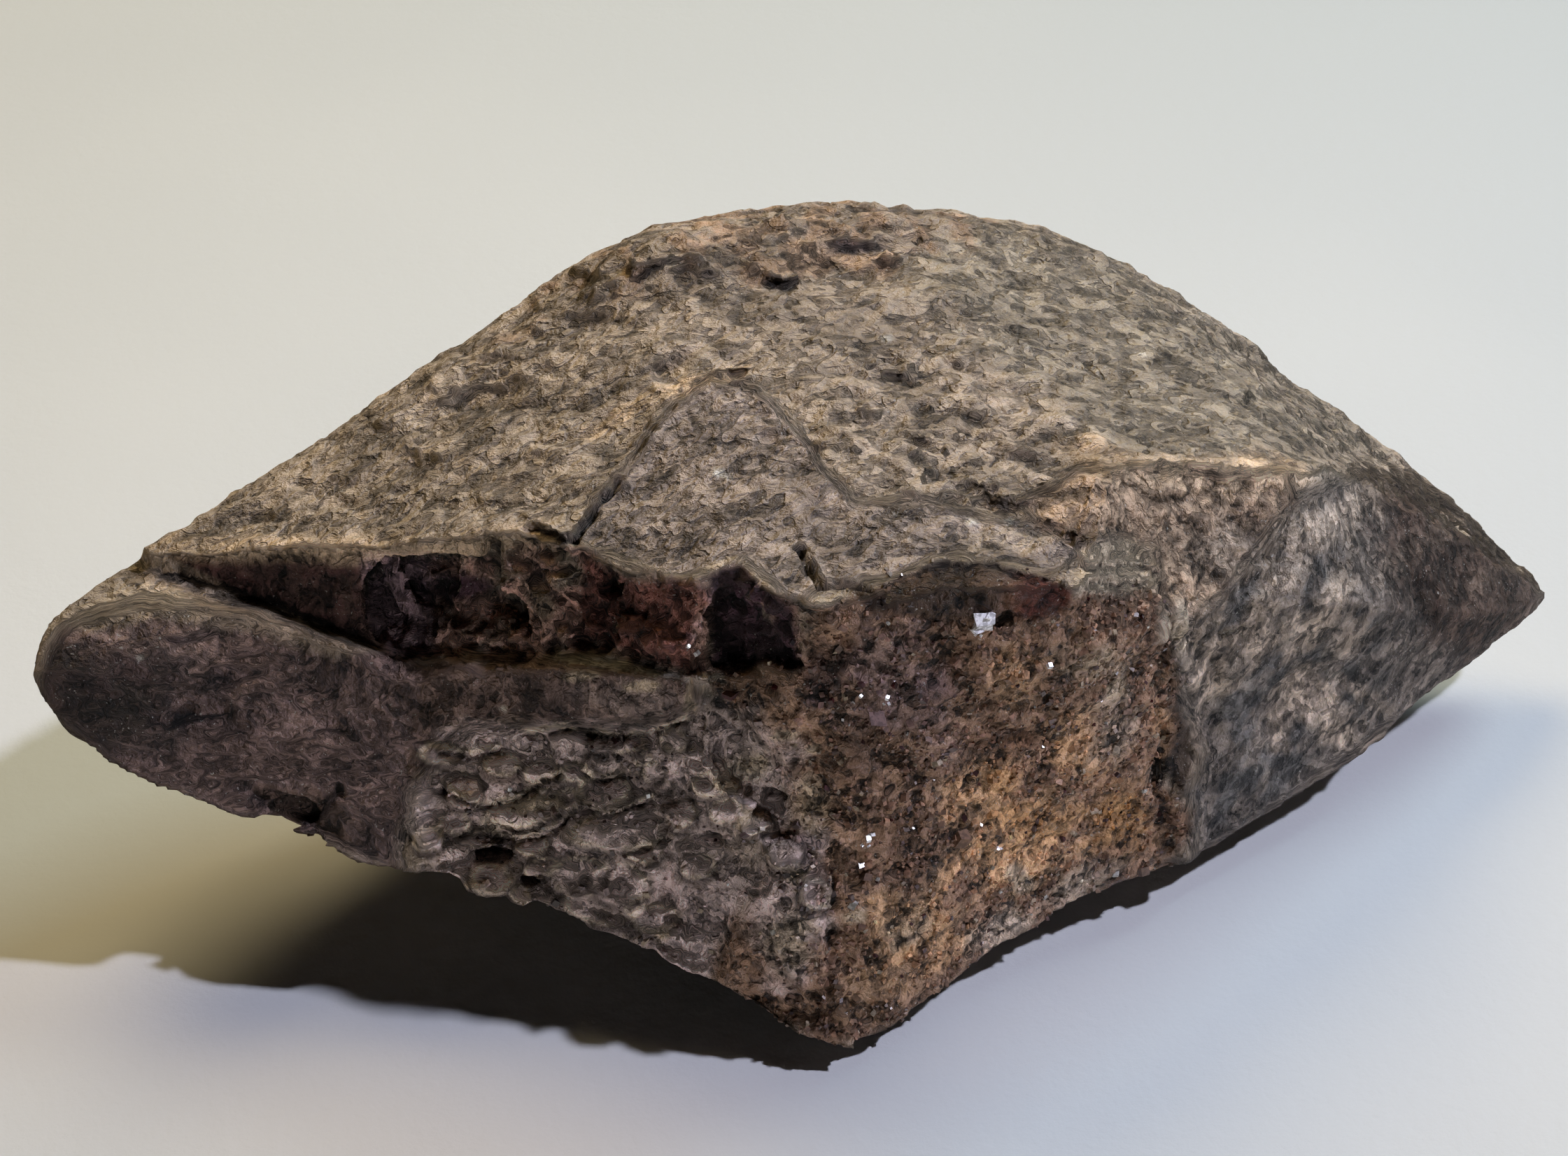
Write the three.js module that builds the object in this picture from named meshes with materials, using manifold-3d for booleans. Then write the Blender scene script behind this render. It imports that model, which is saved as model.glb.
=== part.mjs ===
// Glendonite specimen: one natural stone, a calcite pseudomorph after ikaite, in millimetres, +Z up.
// The crystal is a bulged rhombic bipyramid that lies on one lower face, so its left end stands clear of the
// ground. X runs along it from the raised left tip to the low right tip, Y away from the broken front, Z up.
// The origin is at the middle of the bounding box, on the ground. The tables give the crystal while it is still
// straight, with heights from the lowest corner of the keel.

import * as THREE from "three";
import { ConvexGeometry } from "three/addons/geometries/ConvexGeometry.js";
import { TessellateModifier } from "three/addons/modifiers/TessellateModifier.js";
import { mergeVertices } from "three/addons/utils/BufferGeometryUtils.js";
import Module from "manifold-3d";

// ---- Driving dimensions ----

const leftTip = [-54.8, 0.4, 27];
const rightTip = [55, 0, 5];
const crestRadius = 6; // how far the crest is rounded over at the waist
const crestHorizon = 54; // direction of the crest line on its rounding, in degrees above +Y
const stationCount = 46; // sections along the crystal
const columnWidth = 3; // width of a mesh column at the waist
const longestEdge = 3.4; // of a facet in the finished mesh
const farOut = 70; // how far the cutters reach past the stone
const keelClearance = 3.2; // height over the ground of the level that the heights below are measured from
const bendDepth = 12; // how far the left tip is bent back and down
const bendLength = 55; // length of the crystal that the bend takes
const bentAwayFrom = new THREE.Vector3(-76.5, -186.6, 166.6); // far point that the bend leads away from
const plateTilt = 3; // angle in degrees that the plate is split down by, towards its front edge
const frontTilt = 2.6; // angle in degrees that the rough front is set back by, towards its left edge
const weathering = 0.42; // how far the weathered skin strays from the smooth form
const wideBump = 9; // distance from one bump of the weathered skin to the next
const narrowBump = 3.6; // the same for the finer bumps on it
const wrinkling = 0.3; // height of the wrinkles along the top face

// The long lines of the crystal, each from the left tip to the right tip, as points [x, y, z].
const crest = [
  [-53.3, 2.3, 29.2], [-50.4, 4, 30.6], [-45, 5.8, 31.9], [-38, 8.4, 33.2], [-29, 11.6, 34.8],
  [-21, 15, 36.7], [-12, 18, 38.6], [-6, 19.1, 39.1], [0, 20, 38.9], [6, 20.1, 38], [15, 19.7, 35.2],
  [23, 18.7, 32.4], [27, 17.6, 30.2], [34, 14, 25], [43, 8.5, 16.9], [50.4, 3.8, 10.3],
];
const lip = [
  [-53.3, 1.2, 29.4], [-50, 2.4, 30.8], [-45, 3.6, 32.2], [-41, 1.8, 32.6], [-36.8, -0.6, 33.2],
  [-33.4, -3, 33.8], [-30, -4.8, 34.4], [-26, -6.2, 35], [-22, -9, 35.8], [-19, -13, 36],
  [-15, -17.5, 36.2], [-11, -20, 36], [-5, -20.6, 35.8], [0, -21, 35.6], [5.5, -21.6, 34.8],
  [8, -18.8, 35], [11, -13.2, 35.4], [15.7, -12.2, 34.2], [20.5, -11.8, 32.6], [25, -11.6, 30.6],
  [30, -8.4, 27.6], [36, -4.8, 22.6], [42, -3.6, 17.4], [48, -2.8, 12], [52, -1.6, 8.2],
];
const rim = [
  [-53.2, -0.7, 28.2], [-50, -0.6, 28.9], [-46.5, -0.4, 28.9], [-42.5, -0.8, 27.9], [-39.5, -1.8, 27],
  [-35.6, -3.8, 26.2], [-32.4, -5.6, 26], [-29.2, -7.8, 26.6], [-24.7, -11, 27.8], [-20.3, -14, 28.4],
  [-17, -16.8, 28.8], [-12, -19, 28.3], [-5, -20.4, 27.5], [0, -20.6, 27], [6, -20.4, 26.5],
  [12.4, -19, 26.4], [15, -17.2, 25.6], [20, -15.2, 24.2], [24, -14.2, 22.4], [29, -12.6, 20],
  [36, -9.8, 15.8], [42, -7.4, 12.4], [48, -4.8, 9], [52, -2.6, 6.8],
];
const keel = [
  [-54.4, -1.2, 25.6], [-51, -4.5, 22.4], [-43, -7.6, 17.9], [-38.5, -9.6, 15.3], [-32.7, -10.5, 13.2],
  [-27, -12.5, 10.6], [-20.4, -15.6, 6.7], [-15.3, -18, 3.4], [-9.6, -21.6, -0.5], [-4.7, -20.9, -0.4],
  [3.4, -17, 0.6], [10.7, -14.8, 1.5], [16.4, -14, 1], [23, -12.5, 1], [29, -10.5, 1.3],
  [37, -7.4, 2.3], [46, -4, 3.3], [52, -1.8, 4.1],
];
const sole = [
  [-53.8, 0.4, 24.4], [-50, 0, 21], [-43, 0, 16.2], [-36, 0.4, 11.4], [-28, 1, 6], [-20, 1, 0.6],
  [-12, 0, -3.4], [-4, 0, -5], [10, 0.5, -5], [22, 1, -3.9], [30, 0.5, -1.8], [40, 0, 1],
  [50, 0, 3.4],
];
const heel = [
  [-53.4, 2, 25], [-50, 4, 22.4], [-44, 7, 18.6], [-36, 10.4, 13.6], [-28, 13.5, 8.8], [-20, 16, 4.4],
  [-12, 18, 0.8], [-4, 18.8, -0.6], [6, 18.2, -0.6], [16, 16, -0.3], [26, 12.6, 0.6], [36, 8.8, 1.9],
  [45, 5.2, 3], [52, 2, 4],
];
const backBelly = [
  [-52.6, 3.4, 27.2], [-50, 5.6, 26.6], [-44, 9.8, 25], [-36, 14.2, 24], [-28, 18, 23],
  [-20, 20.8, 22], [-12, 22.8, 21], [-4, 23.6, 20.4], [6, 23.6, 19.8], [16, 22.2, 18.4],
  [26, 18.8, 16], [36, 13.4, 12], [45, 7.8, 8.6], [52, 2.6, 6],
];

// How far each face swells out between its two long lines, at the waist.
const swelling = { crest: 0.3, top: 0.9, wall: 0, front: 0.5, under: 0, lowBack: 1.2, highBack: 0.8 };

// Hollows and swellings of the skin: centre, radii along X, Y and Z, and how far the skin goes in.
const dents = [
  { name: "notch in the keel", at: [-41, -7.8, 17.6], radii: [3, 3, 2.6], depth: 1.3 },
  { name: "dimple in the nose", at: [-45.5, -4.4, 24.6], radii: [2.6, 3, 3], depth: 0.8 },
  { name: "hole in the nodules", at: [-29.5, -10.5, 15.2], radii: [3, 4, 2], depth: 1.4 },
  { name: "gap in the nodules", at: [-21.5, -14.5, 19], radii: [4.5, 4, 1.6], depth: 0.9 },
  { name: "gap under the nodules", at: [-18, -16, 9.5], radii: [5, 4, 2], depth: 0.9 },
  { name: "pit by the rough front", at: [-12.9, -18.6, 19.4], radii: [2.4, 4, 2], depth: 1 },
  { name: "nodule", at: [-24.5, -12.8, 16], radii: [4, 4, 3], depth: -0.9 },
  { name: "low nodule", at: [-33, -9.8, 16.5], radii: [4.5, 4, 3], depth: -0.7 },
  { name: "crest hollow", at: [3.4, 11, 39.8], radii: [5, 3.2, 4], depth: 1.3 },
  { name: "left crest hollow", at: [-3.4, 9.4, 40.2], radii: [4, 2.4, 4], depth: 0.9 },
  { name: "crest hummock", at: [-9, 13.4, 40.4], radii: [6, 3, 4], depth: -0.9 },
  { name: "crest ledge", at: [-17, 11, 38.8], radii: [7, 2.2, 4], depth: 0.7 },
  { name: "ledge on the left face", at: [-24, 7.6, 37.6], radii: [5, 2.2, 4], depth: 0.8 },
  { name: "low ledge on the left face", at: [-33, 3.6, 35], radii: [6, 2.2, 3], depth: 0.5 },
  { name: "hollow on the right face", at: [16.6, -0.5, 35.6], radii: [7, 4, 4], depth: 0.7 },
  { name: "swelling on the right face", at: [10, 7, 38], radii: [6, 5, 4], depth: -0.7 },
  { name: "pit on the right end", at: [39.4, -8.4, 14.4], radii: [1.8, 3, 4.4], depth: 1 },
  { name: "spall on the right end", at: [28, -12, 11], radii: [6, 4, 5], depth: 0.8 },
  { name: "scar on the back", at: [-14, 22, 27], radii: [10, 5, 5], depth: 1.4 },
  { name: "step on the back", at: [14, 21.5, 12], radii: [12, 5, 4], depth: 1.2 },
  { name: "hollow on the back", at: [32, 15, 16], radii: [7, 4, 5], depth: 0.9 },
  { name: "hollow under the nose", at: [-34, 2, 10.5], radii: [9, 6, 4], depth: 0.9 },
];

// ---- Helpers ----

const wasm = await Module();
wasm.setup();

// A closed three.js geometry as a solid that can be joined and cut.
function solid(geometry) {
  const bare = geometry.clone();
  for (const name of Object.keys(bare.attributes)) if (name !== "position") bare.deleteAttribute(name);
  const merged = mergeVertices(bare, 1e-4);
  return new wasm.Manifold(
    new wasm.Mesh({
      numProp: 3,
      vertProperties: merged.attributes.position.array,
      triVerts: new Uint32Array(merged.index.array),
    }),
  );
}

// A solid back as a three.js geometry.
function geometryOf(body) {
  const mesh = body.getMesh();
  const geometry = new THREE.BufferGeometry();
  geometry.setAttribute("position", new THREE.BufferAttribute(mesh.vertProperties, 3));
  geometry.setIndex(new THREE.BufferAttribute(mesh.triVerts, 1));
  return geometry;
}

// The convex block between some corner points.
function block(corners) {
  return solid(new ConvexGeometry(corners.map((p) => new THREE.Vector3(...p))));
}

// A column over an outline in plan, from the height floorAt(x, y) up past the top of the stone.
function column(outline, floorAt) {
  const shape = new THREE.Shape(outline.map(([x, y]) => new THREE.Vector2(x, y)));
  const geometry = new THREE.ExtrudeGeometry(shape, { depth: farOut, bevelEnabled: false });
  const position = geometry.attributes.position;
  for (let i = 0; i < position.count; i++)
    if (position.getZ(i) < farOut / 2) position.setZ(i, floorAt(position.getX(i), position.getY(i)));
  return solid(geometry);
}

// A bar over an outline in front elevation [x, z], from the depth backAt(x, z) out past the front.
function bar(outline, backAt) {
  const shape = new THREE.Shape(outline.map(([x, z]) => new THREE.Vector2(x, z)));
  const geometry = new THREE.ExtrudeGeometry(shape, { depth: farOut, bevelEnabled: false });
  const position = geometry.attributes.position;
  for (let i = 0; i < position.count; i++) {
    const [x, z, out] = [position.getX(i), position.getY(i), position.getZ(i)];
    position.setXYZ(i, x, out < farOut / 2 ? backAt(x, z) : -farOut, z);
  }
  return solid(geometry);
}

// The value at x of a polyline given as [x, value] points.
function valueAt(points, x) {
  const last = points.length - 1;
  if (x <= points[0][0]) return points[0][1];
  if (x >= points[last][0]) return points[last][1];
  const i = points.findIndex((p) => p[0] > x);
  const share = (x - points[i - 1][0]) / (points[i][0] - points[i - 1][0]);
  return THREE.MathUtils.lerp(points[i - 1][1], points[i][1], share);
}

// A repeatable value between -1 and 1 for a corner of the noise lattice.
function latticeValue(i, j, k, seed) {
  let h = (i * 374761393 + j * 668265263 + k * 2147483647 + seed * 1274126177) | 0;
  h = Math.imul(h ^ (h >>> 13), 1274126177);
  return (((h ^ (h >>> 16)) >>> 0) / 4294967295) * 2 - 1;
}

// Smooth value noise of about one bump per unit of length.
function noise(x, y, z, seed) {
  const cell = [x, y, z].map(Math.floor);
  const ease = [x, y, z].map((v, n) => THREE.MathUtils.smoothstep(v - cell[n], 0, 1));
  let sum = 0;
  for (let corner = 0; corner < 8; corner++) {
    const step = [corner & 1, (corner >> 1) & 1, (corner >> 2) & 1];
    const weight = step.reduce((w, s, n) => w * (s ? ease[n] : 1 - ease[n]), 1);
    sum += weight * latticeValue(cell[0] + step[0], cell[1] + step[1], cell[2] + step[2], seed);
  }
  return sum;
}

// ---- The crystal before it was broken ----

// One long line as a smooth curve that can be read at any x.
function longLine(points) {
  const all = [leftTip, ...points, rightTip].map((p) => new THREE.Vector3(...p));
  const curve = new THREE.CatmullRomCurve3(all, false, "centripetal");
  return (x) => {
    let [low, high] = [0, 1];
    for (let i = 0; i < 40; i++) {
      const middle = (low + high) / 2;
      if (curve.getPoint(middle).x < x) low = middle;
      else high = middle;
    }
    return curve.getPoint((low + high) / 2);
  };
}

// The crest is rounded: its lines lie on an arc that turns from the top face over to the back.
function crestArc(crestLine, degrees) {
  const [horizon, angle] = [crestHorizon, degrees].map(THREE.MathUtils.degToRad);
  return (x) => {
    const p = crestLine(x);
    const fromTip = Math.min(x - leftTip[0], rightTip[0] - x);
    const r = crestRadius * THREE.MathUtils.smoothstep(fromTip, 0, 40);
    return new THREE.Vector3(
      x,
      p.y + r * (Math.cos(angle) - Math.cos(horizon)),
      p.z + r * (Math.sin(angle) - Math.sin(horizon)),
    );
  };
}

// The faces around the crystal: each runs from its own line to the line of the next face.
function facesAround() {
  const crestLine = longLine(crest);
  return [
    { line: crestArc(crestLine, 5), swell: swelling.crest },
    { line: crestArc(crestLine, 50), swell: swelling.crest },
    { line: crestArc(crestLine, 92), swell: swelling.top },
    { line: longLine(lip), swell: swelling.wall },
    { line: longLine(rim), swell: swelling.front },
    { line: longLine(keel), swell: swelling.under },
    { line: longLine(sole), swell: swelling.under },
    { line: longLine(heel), swell: swelling.lowBack },
    { line: longLine(backBelly), swell: swelling.highBack },
  ];
}

// The points of one section, column by column.
function sectionAt(x, faces) {
  const section = [];
  const taper = THREE.MathUtils.smoothstep(Math.min(x - leftTip[0], rightTip[0] - x), 0, 40);
  faces.forEach(({ line, swell, columns }, n) => {
    const from = line(x);
    const to = faces[(n + 1) % faces.length].line(x);
    const outward = new THREE.Vector3(0, to.z - from.z, from.y - to.y).normalize().negate();
    for (let c = 0; c < columns; c++) {
      const t = c / columns;
      section.push(from.clone().lerp(to, t).addScaledVector(outward, 4 * t * (1 - t) * swell * taper));
    }
  });
  return section;
}

function unbrokenCrystal() {
  const faces = facesAround();
  faces.forEach((face, n) => {
    const width = face.line(0).distanceTo(faces[(n + 1) % faces.length].line(0));
    face.columns = Math.max(1, Math.round(width / columnWidth));
  });
  const around = sectionAt(0, faces).length;
  const positions = [...leftTip];
  for (let s = 1; s < stationCount; s++) {
    const even = s / stationCount;
    const crowded = (1 - Math.cos(Math.PI * even)) / 2; // stations draw together towards the tips
    const x = THREE.MathUtils.lerp(leftTip[0], rightTip[0], THREE.MathUtils.lerp(even, crowded, 0.4));
    for (const p of sectionAt(x, faces)) positions.push(p.x, p.y, p.z);
  }
  positions.push(...rightTip);
  const at = (s, c) => 1 + (s - 1) * around + (c % around);
  const end = positions.length / 3 - 1;
  const triangles = [];
  for (let c = 0; c < around; c++) {
    triangles.push(0, at(1, c + 1), at(1, c));
    for (let s = 1; s < stationCount - 1; s++)
      triangles.push(at(s, c), at(s + 1, c + 1), at(s + 1, c), at(s, c), at(s, c + 1), at(s + 1, c + 1));
    triangles.push(end, at(stationCount - 1, c), at(stationCount - 1, c + 1));
  }
  const geometry = new THREE.BufferGeometry();
  geometry.setAttribute("position", new THREE.Float32BufferAttribute(positions, 3));
  geometry.setIndex(triangles);
  return solid(geometry);
}

// ---- What was broken away ----

// The skin of the body inside a cutter, down to where the moved copy of the body begins.
function peel(body, cutter, moved) {
  return body.subtract(cutter.subtract(moved));
}

// The smooth plate on top, where a flake split off between a crack on its left and a step on its right.
function plateFlake() {
  return column(
    [
      [-22.8, -9], [-18.8, -5.6], [-15.2, -2.6], [-12.6, 0.6], [-10.4, 0.2], [-7.4, -1.8], [-6.4, -6],
      [-5.4, -10.4], [-0.8, -14.8], [2.6, -16], [6.7, -19.4], [7, -farOut], [-24, -farOut],
    ],
    () => 30,
  );
}

// The slope from the plate down to the step that leads up to the right face.
function valleyFlake() {
  return column(
    [
      [-12, 3], [-3, 4.5], [0.4, 1.6], [1.4, -1.6], [0.8, -6], [1.5, -11], [3.8, -15.4], [7.2, -17.4],
      [9, -19.4], [10, -farOut], [-24, -farOut], [-22.4, -9.6], [-14, -5],
    ],
    (x, y) => 34.8 + 0.16 * (y + 19) - 0.2 * x,
  );
}

// The shelf along the front left: a wall under the lip, and a floor that runs out to the rim.
function shelf() {
  const floor = [
    [-55, 30], [-50.5, 30.7], [-48, 31], [-46.4, 30.5], [-45, 29.7], [-43.5, 28.8], [-41, 27.9],
    [-38, 27.1], [-35, 26.3], [-32, 26.1], [-28, 26.6], [-24, 27.7], [-20, 28.3], [-16, 28.8],
    [-12, 29],
  ];
  return column(
    [
      [-46.4, 12], [-46.2, 4.6], [-44.6, 3.8], [-41.2, 2], [-36.8, -0.4], [-33.4, -2.6], [-30, -4.3],
      [-26, -5.8], [-23.6, -7.4], [-22.3, -8.9], [-21, -10.6], [-19.4, -12.8], [-17.2, -14.6],
      [-15.4, -15], [-14, -14.5], [-13.5, -16.6], [-12.6, -19.2], [-12.2, -farOut], [-60, -farOut],
      [-60, 12],
    ],
    (x) => valueAt(floor, x),
  );
}

// Hollows behind the wall of the shelf, under the lip, with thin ribs of stone left between them.
function hollows() {
  const blackPit = block([
    [-33.6, -5.3, 32.9], [-35.6, -4.4, 29.6], [-35.4, -4.5, 26.8], [-33.2, -5.6, 25.2],
    [-31.2, -6.5, 25.4], [-29.5, -7.4, 27.3], [-28.6, -7.9, 33.3], [-31.6, 1.2, 32.3],
    [-32.6, 1, 29.5], [-31.2, 0.4, 26.7], [-28.2, -1.4, 27.8], [-27.4, -2, 32.6],
  ]);
  const besidePit = block([
    [-30.4, -8, 27.3], [-27.8, -8.4, 26.4], [-25.8, -9.2, 26.4], [-24.8, -9.7, 28],
    [-25.8, -9.2, 30.4], [-27, -8.7, 33.4], [-28.6, -3, 27.9], [-25.6, -4.6, 27.2], [-24, -5.6, 28.4],
    [-24.6, -5, 30.6], [-25.6, -3.8, 33], [-28.4, -2.6, 32.8],
  ]);
  const brownAlcove = block([
    [-24.3, -11.2, 33.8], [-24.6, -10.8, 32.4], [-24.1, -11.4, 29], [-23.6, -11.7, 27.8],
    [-20.8, -15, 28], [-20, -16, 28.6], [-19.6, -16.4, 34.2], [-21.8, -8.8, 33.4],
    [-21.8, -9.8, 29.4], [-18.6, -13.4, 30.4], [-17.4, -14, 33.6],
  ]);
  const darkAlcove = block([
    [-18, -17.2, 34.1], [-15.4, -19.8, 34.5], [-14.1, -21.1, 33.8], [-13.6, -21.6, 31],
    [-13.4, -21.7, 29.2], [-15.1, -20.1, 28.8], [-17.9, -17.3, 28.6], [-16, -13, 33.5],
    [-13.2, -15.6, 33.6], [-11.6, -17.2, 32.7], [-11, -17.8, 30], [-15.6, -14, 29.8],
  ]);
  return blackPit.add(besidePit).add(brownAlcove).add(darkAlcove);
}

// The slanted blade of calcite and the crumbs that still stand in the deepest hollow.
function leftInThePit() {
  const blade = block([
    [-32.5, -0.9, 31.9], [-31.5, -1.4, 32.5], [-31, -1.6, 26], [-29.7, -2.1, 26.1], [-31.9, 2.6, 32.2],
    [-30.3, 1.8, 26],
  ]);
  const crumbs = [
    { at: [-28.9, -4, 27], radius: 1, turn: 0.4 },
    { at: [-27.2, -4.6, 27.3], radius: 0.9, turn: 1.5 },
    { at: [-25.7, -5.4, 26.9], radius: 0.9, turn: 2.3 },
  ];
  return crumbs.reduce(
    (all, { at, radius, turn }) =>
      all.add(solid(new THREE.IcosahedronGeometry(radius, 0).rotateX(turn).rotateZ(turn).translate(...at))),
    blade,
  );
}

// The rough front, where the outer skin is gone from under the plate down to the keel.
// It is set back most at its left edge and comes back to the skin on the right.
function roughFront() {
  return bar(
    [
      [-16.6, 34], [-16.7, 23], [-14.4, 19.6], [-13.6, 16.8], [-10.8, 15], [-9.9, 8], [-8.4, -2],
      [9, -2], [9, 36], [-12, 36],
    ],
    () => -15,
  );
}

// The groove between the rough front and the smooth right end: steep on its left, easing out to the right.
function groove() {
  const leftEdge = [
    [13.4, 29.4], [13.2, 27.6], [13.4, 25], [13.8, 23.2], [15.2, 20.4], [16.2, 17.6], [16.2, 15.4],
    [15.5, 13], [15.3, 10.8], [15.6, 9], [16.6, 6.4], [18, 3.6],
  ];
  const width = [[3, 0.8], [9, 2.4], [14, 3.2], [20, 3.4], [24, 2.2], [29, 0.6]];
  const rightEdge = leftEdge.map(([x, z]) => [x + valueAt(width, z), z]).reverse();
  const byHeight = leftEdge.map(([x, z]) => [z, x]).reverse();
  const floor = [[3, -14], [9, -13.2], [14, -13.6], [20, -14.8], [24, -15.8], [29, -17.8]];
  return bar([...leftEdge, ...rightEdge], (x, z) => valueAt(floor, z) - 0.85 * (x - valueAt(byHeight, z)));
}

// The chip gone from under the lowest corner of the keel.
function underChip() {
  return block([
    [-17.5, -24, 3.6], [-17.5, -15.5, 3.2], [-10.6, -24, -1], [-10.2, -18.6, -1], [-17.5, -24, -3],
    [-17.5, -14, -3], [-11.6, -24, 1.1],
  ]);
}

function brokenCrystal() {
  const whole = unbrokenCrystal();
  const setBack = whole.translate([-8, 20, 0]).rotate([0, 0, -frontTilt]).translate([8, -20, 0]);
  const tiltedDown = whole.translate([0, -2, -38]).rotate([plateTilt, 0, 0]).translate([0, 2, 38]);
  let body = peel(whole, roughFront(), setBack);
  body = peel(body, plateFlake(), tiltedDown);
  const cutters = [valleyFlake(), shelf(), hollows(), groove(), underChip()];
  body = cutters.reduce((left, cutter) => left.subtract(cutter), body).add(leftInThePit());
  const [largest] = body.decompose().sort((a, b) => b.volume() - a.volume());
  return largest;
}

// ---- The weathered surface ----

// How far the skin goes in at a point, from the list of dents.
function dentDepth(x, y, z) {
  return dents.reduce((sum, { at, radii, depth }) => {
    const d = Math.hypot((x - at[0]) / radii[0], (y - at[1]) / radii[1], (z - at[2]) / radii[2]);
    return sum + depth * (1 - THREE.MathUtils.smoothstep(d, 0.3, 1));
  }, 0);
}

// Wrinkles along X on the top face, strongest on its left half.
function wrinkle(x, y, z) {
  const fold = 1 - 2 * Math.abs(noise(x / 8, y / 3.4, z / 6, 31));
  const share = THREE.MathUtils.smoothstep(z, 32, 36) * (1 - 0.5 * THREE.MathUtils.smoothstep(x, -10, 5));
  return wrinkling * fold * share;
}

// Facets no longer than longestEdge, every point strayed by smooth noise and moved along its normal by dents
// and wrinkles.
function weathered(body) {
  const split = new TessellateModifier(longestEdge, 8).modify(geometryOf(body).toNonIndexed());
  split.deleteAttribute("normal");
  const fine = mergeVertices(split, 1e-4);
  fine.computeVertexNormals();
  const { position, normal } = fine.attributes;
  for (let i = 0; i < position.count; i++) {
    const p = [position.getX(i), position.getY(i), position.getZ(i)];
    const along = wrinkle(...p) - dentDepth(...p);
    const n = [normal.getX(i), normal.getY(i), normal.getZ(i)];
    const moved = p.map((value, axis) => {
      const wide = noise(...p.map((v) => v / wideBump), axis + 1);
      const narrow = noise(...p.map((v) => v / narrowBump), axis + 11);
      return value + weathering * (wide + 0.6 * narrow) + along * n[axis];
    });
    position.setXYZ(i, ...moved);
  }
  return solid(fine);
}

// The crystal is a little crooked: its left end is bent back and down.
function bent(body) {
  return body.warp((place) => {
    const point = new THREE.Vector3(...place);
    const share = THREE.MathUtils.smoothstep(-point.x, 0, bendLength);
    const away = point.clone().sub(bentAwayFrom).normalize();
    point.addScaledVector(away, bendDepth * share).toArray(place);
  });
}

// Everything below the ground is trimmed away, which leaves the flat patch behind the keel that the stone
// rests on.
function restedOnGround(body) {
  const corners = [[-farOut, -farOut], [farOut, -farOut], [farOut, farOut], [-farOut, farOut]];
  const below = block(corners.flatMap(([x, y]) => [[x, y, -keelClearance], [x, y, -farOut]]));
  return body.subtract(below).translate([0, 0, keelClearance]);
}

// ---- The specimen ----

// The origin goes to the middle of the bounding box in plan; the ground stays at zero.
function centred(geometry) {
  geometry.computeBoundingBox();
  const middle = geometry.boundingBox.getCenter(new THREE.Vector3());
  return geometry.translate(-middle.x, -middle.y, 0);
}

const stone = new THREE.Mesh(
  centred(geometryOf(restedOnGround(bent(weathered(brokenCrystal()))))),
  new THREE.MeshStandardMaterial({ color: 0x5d5046, roughness: 0.88, metalness: 0 }),
);
stone.name = "glendonite";

const specimen = new THREE.Group();
specimen.add(stone);

export default specimen;
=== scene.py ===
"""Looks of a glendonite specimen: a weathered calcite crystal that lies on one lower face, on pale paper."""

import math

import bpy
import numpy as np
from mathutils import Matrix, Vector, noise
from mathutils.bvhtree import BVHTree
from mathutils.kdtree import KDTree


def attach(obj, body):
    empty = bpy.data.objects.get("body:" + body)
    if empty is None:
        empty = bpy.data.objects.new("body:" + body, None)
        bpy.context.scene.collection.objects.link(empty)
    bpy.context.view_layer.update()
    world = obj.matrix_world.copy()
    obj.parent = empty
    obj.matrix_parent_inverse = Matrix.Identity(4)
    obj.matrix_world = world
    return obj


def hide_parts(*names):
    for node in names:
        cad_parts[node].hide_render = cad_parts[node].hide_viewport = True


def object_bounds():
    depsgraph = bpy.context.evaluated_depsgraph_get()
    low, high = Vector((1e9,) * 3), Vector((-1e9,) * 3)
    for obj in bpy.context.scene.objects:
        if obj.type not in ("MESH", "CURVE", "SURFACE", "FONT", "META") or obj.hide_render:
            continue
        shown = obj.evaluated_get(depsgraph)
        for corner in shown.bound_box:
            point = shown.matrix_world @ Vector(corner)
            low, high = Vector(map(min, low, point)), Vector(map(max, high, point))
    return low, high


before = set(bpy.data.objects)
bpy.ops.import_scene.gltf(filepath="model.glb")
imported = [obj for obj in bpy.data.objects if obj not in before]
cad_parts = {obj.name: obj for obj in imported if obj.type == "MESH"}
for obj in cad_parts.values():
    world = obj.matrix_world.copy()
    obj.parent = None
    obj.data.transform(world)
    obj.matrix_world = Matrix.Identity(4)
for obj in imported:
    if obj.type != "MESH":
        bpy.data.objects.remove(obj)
cad_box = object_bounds()

MM = 0.001

# ---- Sizes of the finish, in millimetres ----

SKIN_MESH = 0.31  # size of a face on the fine skin
CREASE_ANGLE = 38  # degrees between facets that stay a sharp arris
MOST_TRIANGLES = 196000  # on the finished stone
GRAIN_COUNT = 3200  # loose crystal grains on the broken front
CHIP_SEED = 1795495905  # of the bumps on chips and holes, which would follow the clock without it
CHIP_ROUNDNESS = 0.75  # 1 for an egg, less for a chip with flatter sides
DENT_SHARE = 0.7  # of the depth that a dent is given
UNDERCUT_SHARE = 0.75  # of the depth that an undercut is given
HOLE_SOLVER = "MANIFOLD"

# ---- The working view: where the marks of the front are laid out from ----

EYE = np.array([-77.075, -186.917, 169.82])
AHEAD = np.array([0.28993, 0.75528, -0.58779])
LENS = 85
FILM_WIDTH = 36
VIEW_SIZE = (2000, 1474)  # the working view's own units, across and down
VIEW_SCALE = LENS / FILM_WIDTH * VIEW_SIZE[0]
SHINE = np.array([0.499, -0.337, 0.799])  # the way to the window
GRAIN_TURN = 21  # degrees that the wrinkles of the top run off the long axis

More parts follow.
